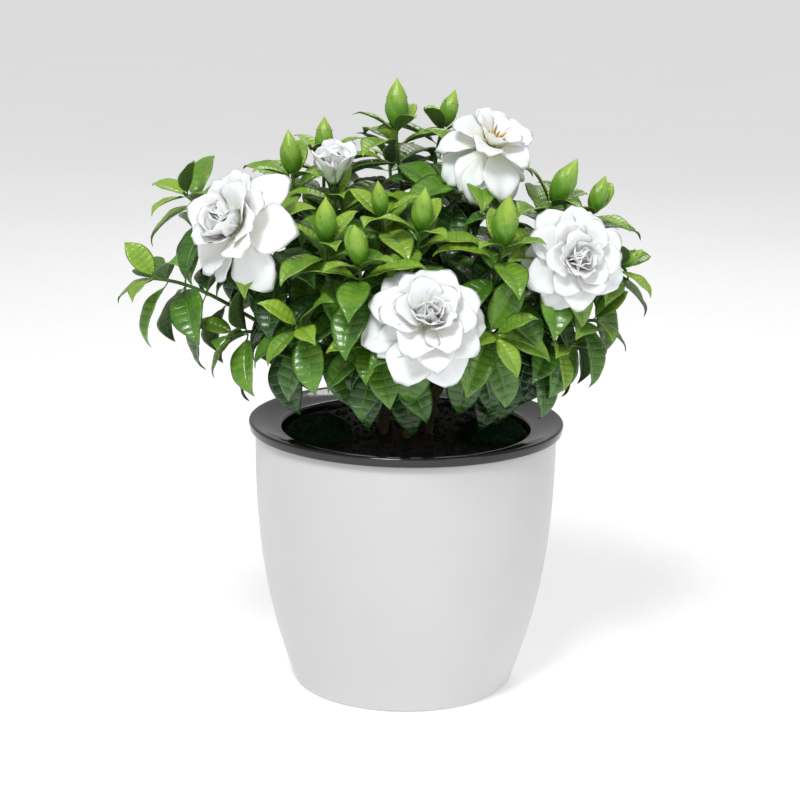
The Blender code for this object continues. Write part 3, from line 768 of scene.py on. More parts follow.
profile += arc((FLANGE_INNER_RADIUS + 0.6 * MM, flange_low - 1.6 * MM), 1.6 * MM, 80, 175)
profile += [(FLANGE_INNER_RADIUS - LINER_WALL, flange_low - THROAT_DEPTH)]
profile += [(LINER_FLOOR_RADIUS - LINER_WALL, LINER_FLOOR + LINER_WALL)]
profile += [(0.001, LINER_FLOOR + LINER_WALL), (0, LINER_FLOOR + LINER_WALL)]
keep(add_object("black_liner", lathe("black_liner", profile, POT_STEPS), BLACK), "liner")
print("liner rim:", round(RIM_RADIUS * 2, 4), "m across")

# %% [markdown]
# ## Soil and moss
# The soil fills the liner to just below the flange. Its top is a rumpled sheet strewn
# with crumbs, and each clump of moss is a mound covered in short tufts. Crumbs and tufts
# are copies, with a handful of faces each.

# %% Soil
SOIL_TOP = 162.5 * MM
SOIL_CROWN = soil_high[2] - SOIL_TOP
SOIL_CROWN_RADIUS = 30 * MM
SOIL_RADIUS = soil_high[0]
SOIL_DEPTH = 14 * MM
SOIL_STEPS = 96
SOIL_RINGS = 25
CRUMBS_STREWN = 900
CRUMB_KINDS = 3
rng = random.Random(11)


def soil_height(x, y):
    r = sqrt(x * x + y * y)
    crown = SOIL_CROWN * max(0.0, 1 - r / SOIL_CROWN_RADIUS)
    rough = noise(Vector((x, y, 0)) * 90) * 1.3 * MM + noise(Vector((x, y, 3)) * 300) * 0.6 * MM
    return SOIL_TOP + crown + rough


rings = []
for radius in (20 * MM, SOIL_RADIUS - 2 * MM):
    rings.append([(radius * cos(a), radius * sin(a), SOIL_TOP - SOIL_DEPTH) for a in circle(SOIL_STEPS)])
for k in range(SOIL_RINGS):
    radius = SOIL_RADIUS * (1 - k / SOIL_RINGS)
    ring = [(radius * cos(a), radius * sin(a)) for a in circle(SOIL_STEPS)]
    rings.append([(x, y, soil_height(x, y)) for x, y in ring])
soil_bed = rings_mesh("soil_bed", rings)


def lump_mesh(name, seed):
    """A crumb: a ball of two rings of five points, knocked out of shape."""
    rings = []
    for k, z in enumerate((-0.5, 0.5)):
        wide = 0.85 + 0.25 * noise(Vector((seed, k, 0)))
        turns = circle(5, k / 2)
        rings.append([(wide * cos(a), wide * sin(a) * 0.8, z * 0.9 + 0.2 * sin(a * seed)) for a in turns])
    return rings_mesh(name, rings)


CRUMBS = shapes_collection("crumb_shape", [lump_mesh("crumb", k + 1) for k in range(CRUMB_KINDS)])


def any_turn():
    axis = Vector([rng.gauss(0, 1) for _ in range(3)]).normalized()
    return Quaternion(axis, rng.uniform(0, pi)).to_matrix()


places = []
for _ in range(CRUMBS_STREWN):
    radius = SOIL_RADIUS * sqrt(rng.random()) * 0.985
    angle = rng.uniform(0, 2 * pi)
    x, y = radius * cos(angle), radius * sin(angle)
    size = rng.uniform(0.5, 2.1) * MM
    places.append((Vector((x, y, soil_height(x, y))), any_turn(), size, rng.randrange(CRUMB_KINDS), 0.0))
crumbs = copies("crumbs", places, CRUMBS, SOIL_AND_PAINTED_SHADE)
keep(joined("soil_top", [(0, soil_bed), (0, crumbs)], [SOIL_AND_PAINTED_SHADE]), "soil")
print("crumbs:", len(places))

# %% Moss
TUFT_KINDS = 3
TUFTS_ON_CLUMP = 1500
LEAFLETS = 7
MOSS_STEPS = 40
MOSS_RINGS = 14


def tuft_mesh(name, seed):
    """Thin pointed leaflets that fan out from one point."""
    verts, faces = [], []
    for i, angle in enumerate(circle(LEAFLETS)):
        turn = angle + seed
        lean = 0.35 + 0.5 * ((i * 3 + seed) % 3) / 2
        out = Vector((cos(turn) * sin(lean), sin(turn) * sin(lean), cos(lean)))
        side = Vector((-sin(turn), cos(turn), 0)) * 0.13
        lift = out.cross(side).normalized() * 0.05
        first = len(verts)
        verts += [out * 0.05 + side, out * 0.05 - side, out * 0.05 + lift, out]
        faces += [(first, first + 2, first + 3), (first + 2, first + 1, first + 3)]
        faces += [(first + 1, first, first + 3), (first, first + 1, first + 2)]
    return mesh_from(name, verts, faces)


TUFTS = shapes_collection("tuft_shape", [tuft_mesh("tuft", seed) for seed in range(TUFT_KINDS)])
for name in ("moss_left", "moss_right"):
    low, high = (Vector(corner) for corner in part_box(name))
    middle, half = (low + high) / 2, (high - low) / 2
    tall = high.z - low.z

    def mound(turn, rise):
        bump_out = 1 + 0.10 * noise(Vector((cos(turn) * 2, sin(turn) * 2, rise * 3 + middle.x * 90)))
        wide = cos(rise * pi / 2) ** 0.7 * bump_out * 0.96
        x = middle.x + half.x * wide * cos(turn)
        y = middle.y + half.y * wide * sin(turn)
        return Vector((x, y, low.z + tall * sin(rise * pi / 2) * 0.86))

    rings = [[mound(turn, k / MOSS_RINGS) for turn in circle(MOSS_STEPS)] for k in range(MOSS_RINGS)]
    body = rings_mesh(name, rings)
    places = []
    for _ in range(TUFTS_ON_CLUMP):
        turn, rise = rng.uniform(0, 2 * pi), 1 - sqrt(rng.random())
        place = mound(turn, rise)
        out = (place - Vector((middle.x, middle.y, low.z - tall * 0.4))).normalized()
        lean = Vector([rng.gauss(0, 0.45) for _ in range(3)])
        turned = (out + lean).normalized().to_track_quat("Z", "Y").to_matrix()
        size = rng.uniform(1.6, 3.0) * MM
        places.append((place - out * 0.3 * MM, turned, size, rng.randrange(TUFT_KINDS), 0.0))
    tufts = copies(name + "_tufts", places, TUFTS, MOSS)
    keep(joined(name + "_clump", [(0, body), (0, tufts)], [MOSS]), name)
print("moss clumps: 2, tufts on each:", len(places))

# %% [markdown]
# ## The bush's plan
# These are the same figures as the CAD model's: where each stem stands and ends, and
# where each shoot springs, ends and heads. Lengths in the two tables are in millimetres.

# %% Stems and shoots
GAP = 0.3 * MM
STEM_DEPTH = 14 * MM
STEM_RING_RADIUS = 17 * MM
STEM_RADIUS = (3.4 * MM, 2.1 * MM)
STEMS = {
    "stem_front": ((0, -52, 236), 270),
    "stem_left_front": ((-58, -40, 240), 215),
    "stem_left_back": ((-56, 42, 246), 145),
    "stem_right_back": ((54, 44, 246), 40),
    "stem_right_front": ((58, -38, 240), 325),
    "stem_centre": ((-2, 4, 292), None),
}
# Each shoot: its stem, how far up the stem it springs, its tip, its heading at the tip,
# and the turn of its first whorl of leaves.
SHOOTS = {
    "flower_left": ("left_front", 1.00, (-93, -69, 301), (-0.60, -0.65, 0.35), 20),
    "flower_top": ("centre", 0.90, (44, -36, 343), (0.35, -0.50, 0.79), 50),
    "flower_right": ("right_front", 1.00, (95, -69, 287), (0.25, -0.93, 0.20), 0),
    "flower_front": ("front", 1.00, (10, -111, 253), (0.10, -0.80, 0.59), 35),
    "half_open": ("centre", 0.80, (-46, -32, 317), (-0.05, -0.20, 0.97), 10),
    "bud_crown": ("centre", 1.00, (-9, -4, 357), (0.0, 0.0, 1.0), 15),
    "bud_crown_right": ("centre", 0.94, (20, 12, 356), (0.30, 0.05, 0.95), 70),
    "bud_left_high": ("left_back", 1.00, (-72, -19, 329), (-0.10, 0.0, 0.99), 30),
    "bud_left_back": ("left_back", 0.92, (-54, 12, 337), (0.0, 0.10, 0.99), 90),
    "bud_left_front": ("left_front", 0.88, (-49, -82, 298), (0.0, -0.25, 0.97), 0),
    "bud_front_left": ("front", 0.88, (-29, -100, 288), (-0.10, -0.35, 0.93), 45),
    "bud_middle": ("centre", 0.70, (-17, -58, 310), (-0.10, -0.20, 0.97), 80),
    "bud_front": ("front", 0.78, (6, -74, 304), (0.10, -0.20, 0.97), 20),
    "bud_right_front": ("right_front", 0.90, (54, -80, 297), (0.10, -0.30, 0.95), 60),
    "bud_right_high": ("right_front", 0.80, (86, -44, 318), (0.45, -0.10, 0.89), 10),
    "bud_right_back": ("right_back", 1.00, (112, -18, 308), (0.30, 0.0, 0.95), 40),
    "bud_right_low": ("right_back", 0.88, (131, -18, 275), (0.75, -0.10, 0.66), 75),
    "left_high": ("left_back", 0.84, (-138, -28, 318), (-0.75, -0.10, 0.65), 0),
    "left_far": ("left_front", 0.80, (-155, -62, 271), (-0.95, -0.28, 0.10), 30),
    "left_low": ("left_front", 0.64, (-108, -52, 234), (-0.80, -0.30, -0.30), 60),
    "left_front_low": ("left_front", 0.72, (-66, -92, 248), (-0.50, -0.80, 0.05), 15),
    "front_low": ("front", 0.66, (-22, -92, 240), (-0.30, -0.88, 0.10), 50),
    "right_front_low": ("right_front", 0.70, (52, -96, 246), (0.40, -0.85, 0.0), 70),
    "right_far": ("right_front", 0.80, (116, -44, 246), (0.90, -0.35, 0.05), 20),
    "right_low": ("right_front", 0.60, (94, -52, 232), (0.75, -0.40, -0.25), 85),
    "left_back": ("left_back", 0.74, (-112, 48, 286), (-0.80, 0.50, 0.35), 40),
    "left_back_low": ("left_back", 0.62, (-92, 66, 236), (-0.65, 0.70, -0.10), 10),
    "back_high": ("centre", 0.62, (-14, 66, 332), (-0.10, 0.45, 0.89), 60),
    "back_left": ("left_back", 0.97, (-46, 104, 292), (-0.30, 0.80, 0.50), 25),
    "back_right": ("right_back", 0.94, (48, 102, 290), (0.30, 0.80, 0.50), 75),
    "right_back": ("right_back", 0.76, (112, 54, 282), (0.80, 0.50, 0.35), 0),
    "back_low": ("right_back", 0.62, (34, 104, 234), (0.25, 0.95, -0.10), 55),
}
SHOOTS = {"shoot_" + name: ("stem_" + stem, *rest) for name, (stem, *rest) in SHOOTS.items()}
print("stems:", len(STEMS), "shoots:", len(SHOOTS))

# %% [markdown]
# ## Paths of the wood
# A stem rises upright through the soil and then leans out to its end. A twig springs
# beside its stem, or carries it on from the end, and bends into its own heading.

# %% Paths of the wood
TWIG_COLLAR = 1.5 * MM


def bezier(p0, p1, p2, p3, t):
    s = 1 - t
    return p0 * s**3 + p1 * (3 * s * s * t) + p2 * (3 * s * t * t) + p3 * t**3


def stem_foot(angle):
    if angle is None:
        return Vector((0, 0, 0))
    return Vector((cos(radians(angle)), sin(radians(angle)), 0)) * STEM_RING_RADIUS


def stem_path(name, steps=7):
    end, angle = STEMS[name]
    foot = stem_foot(angle) + Vector((0, 0, SOIL_TOP - STEM_DEPTH))
    collar = foot + Vector((0, 0, STEM_DEPTH + 5 * MM))
    end = Vector(end) * MM
    rise = Vector((0, 0, (end - collar).length * 0.45))
    lean = (end - collar).normalized() * rise.length * 0.5
    return [foot, *(bezier(collar, collar + rise, end - lean, end, t / steps) for t in range(steps + 1))]


def along(points, share):
    """The place and direction at a share of the way along a row of points."""
    lengths = [(b - a).length for a, b in zip(points, points[1:])]
    left = share * sum(lengths)
    for a, b, length in zip(points, points[1:], lengths):
        if left <= length + 1e-9:
            return a.lerp(b, left / length), (b - a).normalized()
        left -= length
    return points[-1], (points[-1] - points[-2]).normalized()


def twig_path(name, steps=4):
    stem, share, tip, heading, _ = SHOOTS[name]
    place, direction = along(stem_path(stem), share)
    tip = Vector(tip) * MM
    heading = Vector(heading).normalized()
    away = tip - place
    if share < 0.999:
        away -= direction * away.dot(direction)
        offset = STEM_RADIUS[0] + (STEM_RADIUS[1] - STEM_RADIUS[0]) * share + 2 * GAP
        start = place + away.normalized() * offset
        leaving = (away.normalized() + direction).normalized()
    else:
        start = place + direction * GAP
        leaving = direction
    reach = (tip - start).length * 0.36
    collar = tip - heading * TWIG_COLLAR
    points = (start, start + leaving * reach, collar - heading * reach, collar)
    return [*(bezier(*points, t / steps) for t in range(steps + 1)), tip]


print("points on a stem:", len(stem_path("stem_front")), "on a twig:", len(twig_path("shoot_bud_crown")))

# %% [markdown]
# ## Bark
# The stems are rods that thin towards the end, with a slight knot at every fifth point,
# where leaves once stood.

# %% Bark
KNOT = 0.14
KNOT_EVERY = 5
for name in STEMS:
    path = stem_path(name, 28)
    radii = []
    for k in range(len(path)):
        share = k / (len(path) - 1)
        knot = KNOT if k % KNOT_EVERY == 3 else 0.0
        radii.append((STEM_RADIUS[0] + (STEM_RADIUS[1] - STEM_RADIUS[0]) * share) * (0.95 + knot))
    keep(joined(name + "_bark", [(0, rod(name, path, radii, 14))], [BARK]), name)
print("stems:", len(STEMS))

# %% [markdown]
# ## Leaves
# Gardenia leaves stand in threes, turned from one whorl to the next. A leaf is a glossy
# blade, folded a little at its midrib, that bulges between sunk side veins and bends
# back to a drawn-out point. The rows of its mesh run along the side veins, so that four
# rows draw each bulge. Every whorl has its own three shapes.

# %% Leaf shapes
LEAF_LENGTH = 46 * MM
LEAF_WIDTH = 0.44
WHORL_LEAVES = 3
# Distance below the shoot's tip, lean from its heading, size, and bend of the blade.
WHORLS = (
    (4 * MM, radians(42), 0.66, radians(35)),
    (12 * MM, radians(62), 0.92, radians(45)),
    (23 * MM, radians(78), 1.06, radians(50)),
    (37 * MM, radians(92), 1.06, radians(45)),
    (52 * MM, radians(98), 0.98, radians(40)),
)
TRIED_TURNS = (0, 13, -13, 26, -26, 40, -40)
TRIED_LEANS = (0, 14, -14)
TRIED_SIZES = (1.0, 0.82, 0.66)
STALK = 0.10
STALK_HALF_WIDTH = 0.013
VEINS = 8
VEIN_SLANT = 0.36
TIP_STARTS = 0.82
SHAPES_PER_WHORL = 3
BLADE_ROWS = 34
BLADE_COLUMNS = 10
BLADE_THICKNESS = 0.012


def leaf_half_width(s):
    """Half-width at share s of the blade, of the leaf's length: full, then drawn to a point."""
    s = min(max(s, 0.0), 1.0)
    full = sin(pi * s**0.86) ** 0.85
    drawn = 1 - 0.42 * max(0.0, (s - 0.68) / 0.32) ** 1.5
    return LEAF_WIDTH * 0.5 * 1.06 * full * drawn


def on_vein(s, v):
    """Where on the midrib the side vein starts that passes v of the way out at share s."""
    return s + VEIN_SLANT * abs(v) ** 1.15 * s * (1 - s)


def leaf_surface(bend, seed):
    """A leaf one long, along +X from its stalk, with its upper side to +Z."""
    fold = 0.26 + 0.12 * noise(Vector((seed, 0.5, 0)))
    wave = 0.010 + 0.006 * noise(Vector((seed, 1.5, 0)))
    phase = seed * 1.7
    sway = 0.05 * noise(Vector((seed, 2.5, 0)))
    twist = 0.35 * noise(Vector((seed, 3.5, 0)))

    def surface(u, v):
        if u < STALK:
            s, half = 0.0, STALK_HALF_WIDTH
        else:
            s = on_vein((u - STALK) / (1 - STALK), v)
            half = max(leaf_half_width(s), STALK_HALF_WIDTH * (1 - s))
        along_blade = u if u < STALK else STALK + s * (1 - STALK)
        y = v * half
        bulge = abs(sin(pi * (s * VEINS))) ** 0.6 * 0.018
        bulge = bulge * min(1, abs(v) * 5) * (1 - abs(v) ** 5) * min(1, s * 8)
        bulge *= 1 - s**4
        z = fold * (sqrt(y * y + 0.0001) - 0.01) + bulge
        z -= 0.010 * max(0.0, 1 - abs(v) * 8) * min(1, s * 12) * (1 - s)
        z += wave * sin(2 * pi * 2.6 * along_blade + phase + (1.3 if v > 0 else 0)) * abs(v) ** 2.5
        tip = max(0.0, along_blade - TIP_STARTS)
        z -= tip * tip * 2.2
        turn = twist * s
        y, z = y * cos(turn) - z * sin(turn), y * sin(turn) + z * cos(turn)
        y += sway * s * s
        swing = bend * along_blade
        x = sin(swing) / bend + z * sin(swing)
        return Vector((x, y, -(1 - cos(swing)) / bend + z * cos(swing)))

    return surface


def leaf_uv(u, v):
    return (on_vein(max(0.0, (u - STALK) / (1 - STALK)), v) * VEINS, v)


leaf_meshes = []
for whorl, (_, _, _, bend) in enumerate(WHORLS):
    for k in range(SHAPES_PER_WHORL):
        surface = leaf_surface(bend, whorl * SHAPES_PER_WHORL + k + 1)
        blade = blade_mesh("leaf", surface, BLADE_ROWS, BLADE_COLUMNS, BLADE_THICKNESS, leaf_uv)
        leaf_meshes.append(blade)
LEAVES = shapes_collection("leaf_shape", leaf_meshes)
print("leaf shapes:", len(leaf_meshes), "faces each:", len(leaf_meshes[0].polygons))

# %% [markdown]
# ## Where the leaves are
# In the CAD model each leaf takes the first of a few turns, leans and sizes in which it
# meets nothing. The same poses are listed here, and the one whose corners lie on the
# CAD shoot's own corners is the leaf's. Lower whorls that the CAD model leaves out are
# added where they are clear of every CAD piece, because the bush is dense inside.

# %% Poses of a leaf
BROADEST = 0.45


def leaf_frame(root, heading, turn, lean):
    across = heading.orthogonal().normalized()
    outward = Quaternion(heading, turn) @ across
    pointing = (heading * cos(lean) + outward * sin(lean)).normalized()
    upper = heading * 0.6 + Vector((0, 0, 0.8))
    upper = (upper - pointing * upper.dot(pointing)).normalized()
    return root + outward * 0.2 * MM, pointing, upper


def blade_point(spot, length, bend, u):
    root, pointing, upper = spot
    swing = bend * u
    return root + (pointing * sin(swing) - upper * (1 - cos(swing))) * (length / bend)


def leaf_corners(spot, length, bend):
    """The tip, and both edges where the leaf is broadest."""
    side = spot[1].cross(spot[2]) * length * LEAF_WIDTH / 2
    middle = blade_point(spot, length, bend, BROADEST)
    return blade_point(spot, length, bend, 1.0), middle + side, middle - side


def poses(name, whorl, number):
    """Every pose that a leaf may take, in the order that they are tried."""
    below, lean, size, bend = WHORLS[whorl]
    path = twig_path(name)
    total = sum((b - a).length for a, b in zip(path, path[1:]))
    root, heading = along(path, max(0.0, 1 - below / total))
    turn = radians(SHOOTS[name][-1] + 360 / WHORL_LEAVES * (number + whorl / 2))
    for scale in TRIED_SIZES:
        for more_lean in TRIED_LEANS:
            for more_turn in TRIED_TURNS:
                spot = leaf_frame(root, heading, turn + radians(more_turn), lean + radians(more_lean))
                yield spot, LEAF_LENGTH * size * scale, bend


print("poses that a leaf may take:", len(list(poses("shoot_bud_crown", 0, 0))))

# %% Find the leaves of the CAD model, and room for more
CAD_WHORLS = 3
SAME_PLACE = 0.05 * MM
CLEARANCE = 0.4 * MM
LIGHTNESS = (0.80, 0.62, 0.48, 0.34, 0.20)


def corner_tree(name):
    points = nodes[name].data.vertices
    tree = KDTree(len(points))
    for vert in points:
        tree.insert(vert.co, vert.index)
    tree.balance()
    return tree


def cad_leaf(name, whorl, number, tree):
    for spot, length, bend in poses(name, whorl, number):
        if all(tree.find(corner)[2] < SAME_PLACE for corner in leaf_corners(spot, length, bend)):
            return spot, length
    return None


SOLIDS = []
for name, solid in nodes.items():
    verts = [v.co.copy() for v in solid.data.vertices]
    skin = BVHTree.FromPolygons(verts, [tuple(p.vertices) for p in solid.data.polygons])
    SOLIDS.append((skin, *(Vector(corner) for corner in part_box(name))))


def extra_leaf(name, whorl, number):
    """The first pose whose blade, as a flat diamond, meets no CAD piece and no other extra leaf."""
    for spot, length, bend in poses(name, whorl, number):
        start = blade_point(spot, length, bend, 0.12)
        tip, left, right = leaf_corners(spot, length, bend)
        verts = [start, left, tip, right]
        low = Vector([min(v[k] for v in verts) for k in range(3)])
        high = Vector([max(v[k] for v in verts) for k in range(3)])
        if low.z < RIM_TOP + 2 * MM:
            continue
        blade = BVHTree.FromPolygons(verts, [(0, 1, 2), (0, 2, 3)], epsilon=CLEARANCE)
        near = [skin for skin, a, b in SOLIDS if all(low[k] < b[k] and high[k] > a[k] for k in range(3))]
        if not any(blade.overlap(skin) for skin in near):
            SOLIDS.append((blade, low, high))
            return spot, length
    return None


def leaf_age_and_painted_light(place, whorl):
    """How light a leaf is: young leaves, near the shoot's tip, are the lightest, and painted light makes
    leaves high up and towards the front lighter and those low down and at the back darker.
    """
    # Painted light: a leaf higher up and nearer the front is made lighter, one lower and further back darker.
    lift = (place.z - 0.28) * 2.4 - place.y * 0.5
    return min(1.0, max(0.0, LIGHTNESS[whorl] + lift + rng.uniform(-0.16, 0.16)))


# A flower stands where its shoot would have its first whorl, so those leaves start a whorl lower.
found = {name: [] for name in SHOOTS}
for extra in (False, True):
    for name in SHOOTS:
        tree = corner_tree(name)
        first = 1 if name.startswith("shoot_flower") else 0
        last = first + CAD_WHORLS
        for whorl in range(last, len(WHORLS)) if extra else range(first, last):
            for number in range(WHORL_LEAVES):
                leaf = extra_leaf(name, whorl, number) if extra else cad_leaf(name, whorl, number, tree)
                if leaf:
                    found[name].append((*leaf, whorl))
    print("leaves with" if extra else "leaves without", "the extra ones:", sum(map(len, found.values())))

# %% Shoots
TWIG_RADIUS = 1.35 * MM
TWIG_THINS = 0.35 * MM
for name, leaves in found.items():
    places = []
    for (root, pointing, upper), length, whorl in leaves:
        turned = Matrix((pointing, upper.cross(pointing), upper)).transposed()
        kind = whorl * SHAPES_PER_WHORL + rng.randrange(SHAPES_PER_WHORL)
        # The leaf's age, with painted light by its height and by how far forward it stands.
        age_and_painted_light = leaf_age_and_painted_light(root + pointing * length * 0.5, whorl)
        places.append((root, turned, length, kind, age_and_painted_light))
    blades = copies(name + "_blades", places, LEAVES, LEAF)
    path = twig_path(name, 16)
    radii = [TWIG_RADIUS - TWIG_THINS * k / (len(path) - 1) for k in range(len(path))]
    twig = rod(name, path, radii, 10)
    keep(joined(name + "_leafy", [(0, blades), (1, twig)], [LEAF, TWIG]), name)
print("shoots:", len(found))

# %% [markdown]
# ## Flowers
# A double gardenia has whorls of broad petals. The outer ones lie open, bend back and
# wave at the rim, and each whorl further in is smaller and stands more upright, until
# the last ones wrap the heart. The shapes run from open to furled, and every flower
# picks from them by how far each petal has opened.

# %% Petal shapes
PETAL_ROWS = 14
PETAL_COLUMNS = 12
PETAL_THICKNESS = 0.018


def petal_surface(bend, cup, wide, point, seed):
    """A petal one long, along +X from its base, with its inner face to +Z."""
    ruffle = 0.035 + 0.02 * noise(Vector((seed, 4.5, 0)))
    sway = 0.10 * noise(Vector((seed, 5.5, 0)))

    def surface(u, v):
        rise = sin(min(u / 0.70, 1.0) * pi / 2) ** 1.3
        fall = 1 - 0.34 * max(0.0, (u - 0.70) / 0.30) ** 2
        half = wide * (0.10 + 0.90 * rise) * fall
        length = u * (1 - 0.20 * abs(v) ** 2.6 * u + point * (1 - abs(v)) ** 2 * u**3)
        y = v * half + sway * length * length
        z = cup * v * v * half * (1.15 - 0.5 * u)
        z += ruffle * sin(seed + 2.2 * pi * v + 3 * u) * abs(u) ** 3
        z += ruffle * 0.5 * sin(seed * 2 + 5 * pi * u) * abs(v) ** 3
        z += 0.006 * sin(16 * v) * u * (1 - u)
        curl = max(0.0, u - 0.80)
        z -= curl * curl * 2.4 * (1 if bend > 0 else 0.4)
        swing = bend * length
        x = sin(swing) / bend + z * sin(swing)
        return Vector((x, y, -(1 - cos(swing)) / bend + z * cos(swing)))

    return surface


# Bend away from the heart, cup, half-width, drawn tip: open, half open, upright and furled.
PETAL_KINDS = (
    (0.75, 0.10, 0.37, 0.00),
    (0.55, 0.18, 0.40, 0.05),
    (0.90, 0.12, 0.34, 0.12),
    (0.40, 0.30, 0.42, 0.00),
    (0.20, 0.42, 0.44, 0.04),
    (-0.35, 0.55, 0.46, 0.00),
    (-0.60, 0.70, 0.46, 0.00),
    (-0.95, 0.85, 0.44, 0.00),
)
petal_meshes = []
for number, figures in enumerate(PETAL_KINDS):
    surface = petal_surface(*figures, number + 1)
    size = (PETAL_ROWS, PETAL_COLUMNS, PETAL_THICKNESS)
    petal_meshes.append(blade_mesh("petal", surface, *size, lambda u, v: (u, v)))
PETAL_SHAPES = shapes_collection("petal_shape", petal_meshes)
print("petal shapes:", len(petal_meshes))

# %% [markdown]
# ## Furled petals
# A bud, and the heart of a flower, is a spindle of petals that wrap each other. Their
# edges wind round it, so its skin is a spiral of six shallow steps, which fade out at
# the base.

# %% Furled petals
BUD_FATNESS = 0.235
BUD_PETALS = 6
BUD_WIND = 0.42
BUD_STEP = 0.12
BUD_RINGS = 30
BUD_SIDES = 48


def bud_radius(u):
    return (0.20 + 0.80 * sin(pi * min(1, 0.06 + u * 0.94) ** 0.85) ** 1.1) * (1 - 0.9 * u**9)


def bud_mesh(name, length):
    rings, uvs = [], []
    for k in range(BUD_RINGS + 1):
        u = k / BUD_RINGS
        ring = []
        for i in range(BUD_SIDES):
            share = i / BUD_SIDES
            petal = (share * BUD_PETALS + u * BUD_WIND * BUD_PETALS) % 1.0
            step = 1 + BUD_STEP * (petal - 0.5) * min(1, u * 4)
            radius = bud_radius(u) * step * BUD_FATNESS * length
            ring.append((radius * cos(2 * pi * share), radius * sin(2 * pi * share), u * length))
            uvs.append((u, petal))
        rings.append(ring)
    return rings_mesh(name, rings, uvs)


print("a bud's radius at half its length:", round(bud_radius(0.5) * BUD_FATNESS, 3), "of it")

# %% [markdown]
# ## Flowers in whorls
# Each flower has a plan: how many petals every whorl has, and how far they have opened.
# Its petals are copies, set round the twig's end in a calyx. The heart is furled, except
# in the flower that has opened widest, which shows its stamens.

# %% Flowers in whorls
# Whorls of a flower, from the outside in: petals, opening in degrees, length of the
# flower's radius, first shape to pick from, and the height of the base in millimetres.
ROSETTE = (
    (6, 92, 1.02, 0, 8.5),
    (6, 74, 0.92, 1, 9.5),
    (6, 55, 0.78, 3, 10.5),
    (5, 37, 0.66, 4, 11.0),
    (5, 22, 0.54, 5, 11.5),
    (3, 9, 0.44, 6, 12.0),
)
CUPPED = (
    (6, 84, 1.04, 0, 8.5),
    (5, 58, 0.90, 3, 9.5),
    (6, 38, 0.82, 4, 10.5),
    (5, 25, 0.72, 5, 11.0),
    (4, 12, 0.60, 6, 12.0),
)
FADING = (
    (6, 112, 1.05, 0, 8.0),
    (6, 92, 0.98, 1, 9.0),
    (5, 60, 0.80, 3, 10.0),
    (4, 34, 0.60, 4, 11.0),
)
GOBLET = (
    (5, 24, 1.06, 4, 9.0),
    (5, 15, 1.02, 5, 10.0),
    (4, 7, 0.92, 6, 11.0),
)
# Each flower: its shoot, its radius and its plan.
FLOWERS = {
    "flower_left": ("shoot_flower_left", 37 * MM, CUPPED),
    "flower_top": ("shoot_flower_top", 33 * MM, FADING),
    "flower_right": ("shoot_flower_right", 33 * MM, ROSETTE),
    "flower_front": ("shoot_flower_front", 37 * MM, ROSETTE),
    "flower_half_open": ("shoot_half_open", 24 * MM, GOBLET),
}
TUBE = 9 * MM
HEART_LENGTH = 0.50
CALYX_LOBES = 6
CALYX_RADIUS = 2.9
STAMENS = 8
STAMEN_REACH = 13 * MM


def stand(heading):
    return Vector(heading).normalized().to_track_quat("Z", "Y").to_matrix()


def put(mesh, place, turned):
    mesh.transform(Matrix.Translation(place) @ turned.to_4x4())
    return mesh


def calyx(name, place, turned, base_radius, reach, lean):
    """A green cup with thin lobes, made upright and then put in place. Figures in millimetres."""
    rings = []
    for height, radius in ((0, 1.2), (1.5, 2.0), (4.5, 2.6), (6.5, base_radius), (6.7, base_radius * 0.8)):
        ring = [(a, radius * (1 + 0.08 * cos(CALYX_LOBES * a))) for a in circle(18)]
        rings.append([(r * cos(a) * MM, r * sin(a) * MM, height * MM) for a, r in ring])
    meshes = [rings_mesh(name, rings)]
    for turn in circle(CALYX_LOBES):
        out = Vector((cos(turn), sin(turn), 0))
        path, radii = [], []
        for k in range(7):
            share = k / 6
            away = out * (base_radius * 0.85 + reach * lean * share**1.4) * MM
            path.append(away + Vector((0, 0, 6 + reach * share)) * MM)
            radii.append((0.75 - 0.62 * share) * MM)
        meshes.append(rod(name, path, radii, 6))
    return [put(mesh, place, turned) for mesh in meshes]


def stamens(name, place, turned, reach):
    """Thin threads that carry golden anthers, in the heart of a flower that has opened wide."""
    meshes = []
    for i, angle in enumerate(circle(STAMENS)):
        turn = angle + 0.4
        out = Vector((cos(turn), sin(turn), 0))
        top = out * reach * (0.22 + 0.2 * (i % 2)) + Vector((0, 0, reach * (0.9 + 0.15 * sin(i * 2.1))))
        path = [Vector((0, 0, TUBE)) + top * share for share in (0, 0.3, 0.6, 0.8, 1.0)]
        meshes.append(rod(name, path, [0.25 * MM, 0.25 * MM, 0.6 * MM, 0.6 * MM, 0.2 * MM], 8))
    return [put(mesh, place, turned) for mesh in meshes]


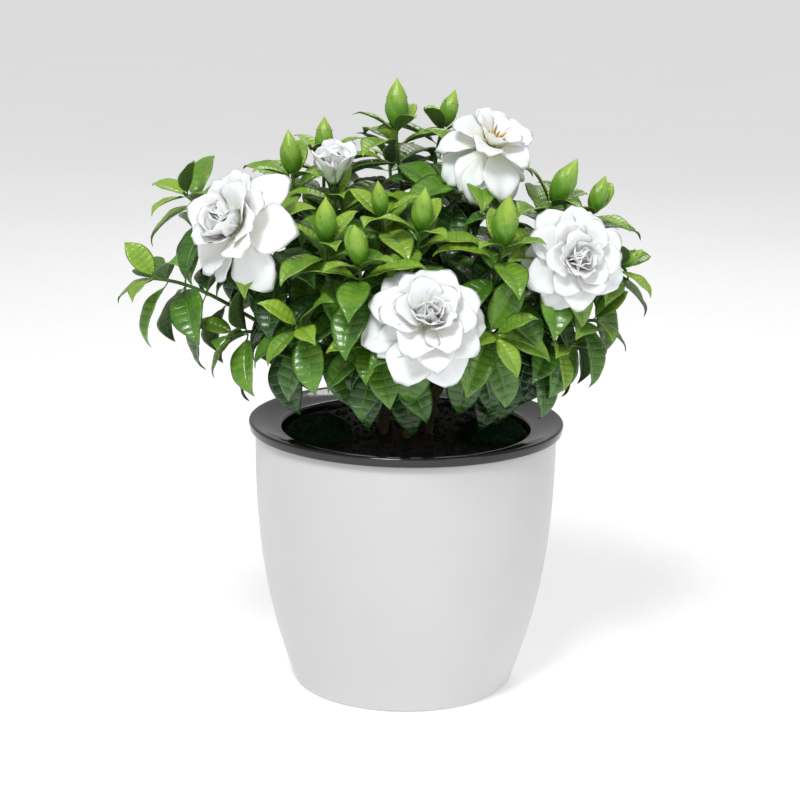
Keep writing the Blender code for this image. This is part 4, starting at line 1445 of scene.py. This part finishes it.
for name, (shoot, radius, plan) in FLOWERS.items():
    _, _, tip, heading, _ = SHOOTS[shoot]
    turned = stand(heading)
    place = Vector(tip) * MM
    places = []
    for whorl, (count, opening, length, shape, height) in enumerate(plan):
        for i in range(count):
            turn = 2 * pi * (i + whorl * 0.5) / count + rng.uniform(-0.13, 0.13)
            lean = radians(opening + rng.uniform(-7, 7) + (5 if i % 2 else -5))
            out = Vector((cos(turn), sin(turn), 0))
            pointing = out * sin(lean) + Vector((0, 0, cos(lean)))
            upper = Vector((0, 0, sin(lean))) - out * cos(lean)
            petal_turn = Matrix((pointing, upper.cross(pointing), upper)).transposed()
            base = out * (2.6 - whorl * 0.35) * MM + Vector((0, 0, height * MM))
            kind = min(shape + rng.randrange(2), len(PETAL_KINDS) - 1)
            depth = whorl / (len(plan) - 1)
            size = radius * length * rng.uniform(0.94, 1.04)
            places.append((place + turned @ base, turned @ petal_turn, size, kind, depth))
    petals = copies(name + "_petals", places, PETAL_SHAPES, PETAL)
    meshes = [(0, petals)] + [(1, mesh) for mesh in calyx(name, place, turned, CALYX_RADIUS, 9, 0.55)]
    if plan is FADING:
        meshes += [(2, mesh) for mesh in stamens(name, place, turned, STAMEN_REACH)]
    else:
        heart = bud_mesh(name + "_heart", radius * HEART_LENGTH)
        heart.transform(Matrix.Translation(place) @ turned.to_4x4() @ Matrix.Translation((0, 0, TUBE)))
        meshes.append((0, heart))
    keep(joined(name + "_petalled", meshes, [PETAL, LEAF, ANTHER]), name)
    print(name, len(places), "petals")

# %% [markdown]
# ## Buds
# A bud is a furled spindle in a calyx. The calyx grows with the bud, and its lobes stand
# close against it. Each bud is on the shoot that is named after it.

# %% Buds
# Lengths in millimetres.
BUDS = {
    "bud_crown": 30,
    "bud_crown_right": 24,
    "bud_left_high": 27,
    "bud_left_back": 24,
    "bud_left_front": 28,
    "bud_front_left": 26,
    "bud_middle": 22,
    "bud_front": 27,
    "bud_right_front": 33,
    "bud_right_high": 30,
    "bud_right_back": 24,
    "bud_right_low": 17,
}
USUAL_BUD = 27 * MM
for name, millimetres in BUDS.items():
    _, _, tip, heading, _ = SHOOTS["shoot_" + name]
    length = millimetres * MM
    turned = stand(heading)
    place = Vector(tip) * MM + Vector(heading).normalized() * GAP
    body = put(bud_mesh(name, length), place, turned)
    green = calyx(name, place, turned, CALYX_RADIUS * length / USUAL_BUD, length / MM * 0.42, 0.30)
    meshes = [(0, body)] + [(1, mesh) for mesh in green]
    keep(joined(name + "_furled", meshes, [BUD, LEAF]), name)
print("buds:", len(BUDS))

# %% [markdown]
# ## Finish
# The shapes that were copied are removed, and the boxes of the CAD model and of this one are set side by
# side.

# %% Finish
for group in (CRUMBS, TUFTS, LEAVES, PETAL_SHAPES):
    for obj in list(group.objects):
        bpy.data.objects.remove(obj, do_unlink=True)
    bpy.data.collections.remove(group)


def plain(box):
    return [[float(number) for number in corner] for corner in box]


{"cad": plain(cad_box), "visual": plain(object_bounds())}
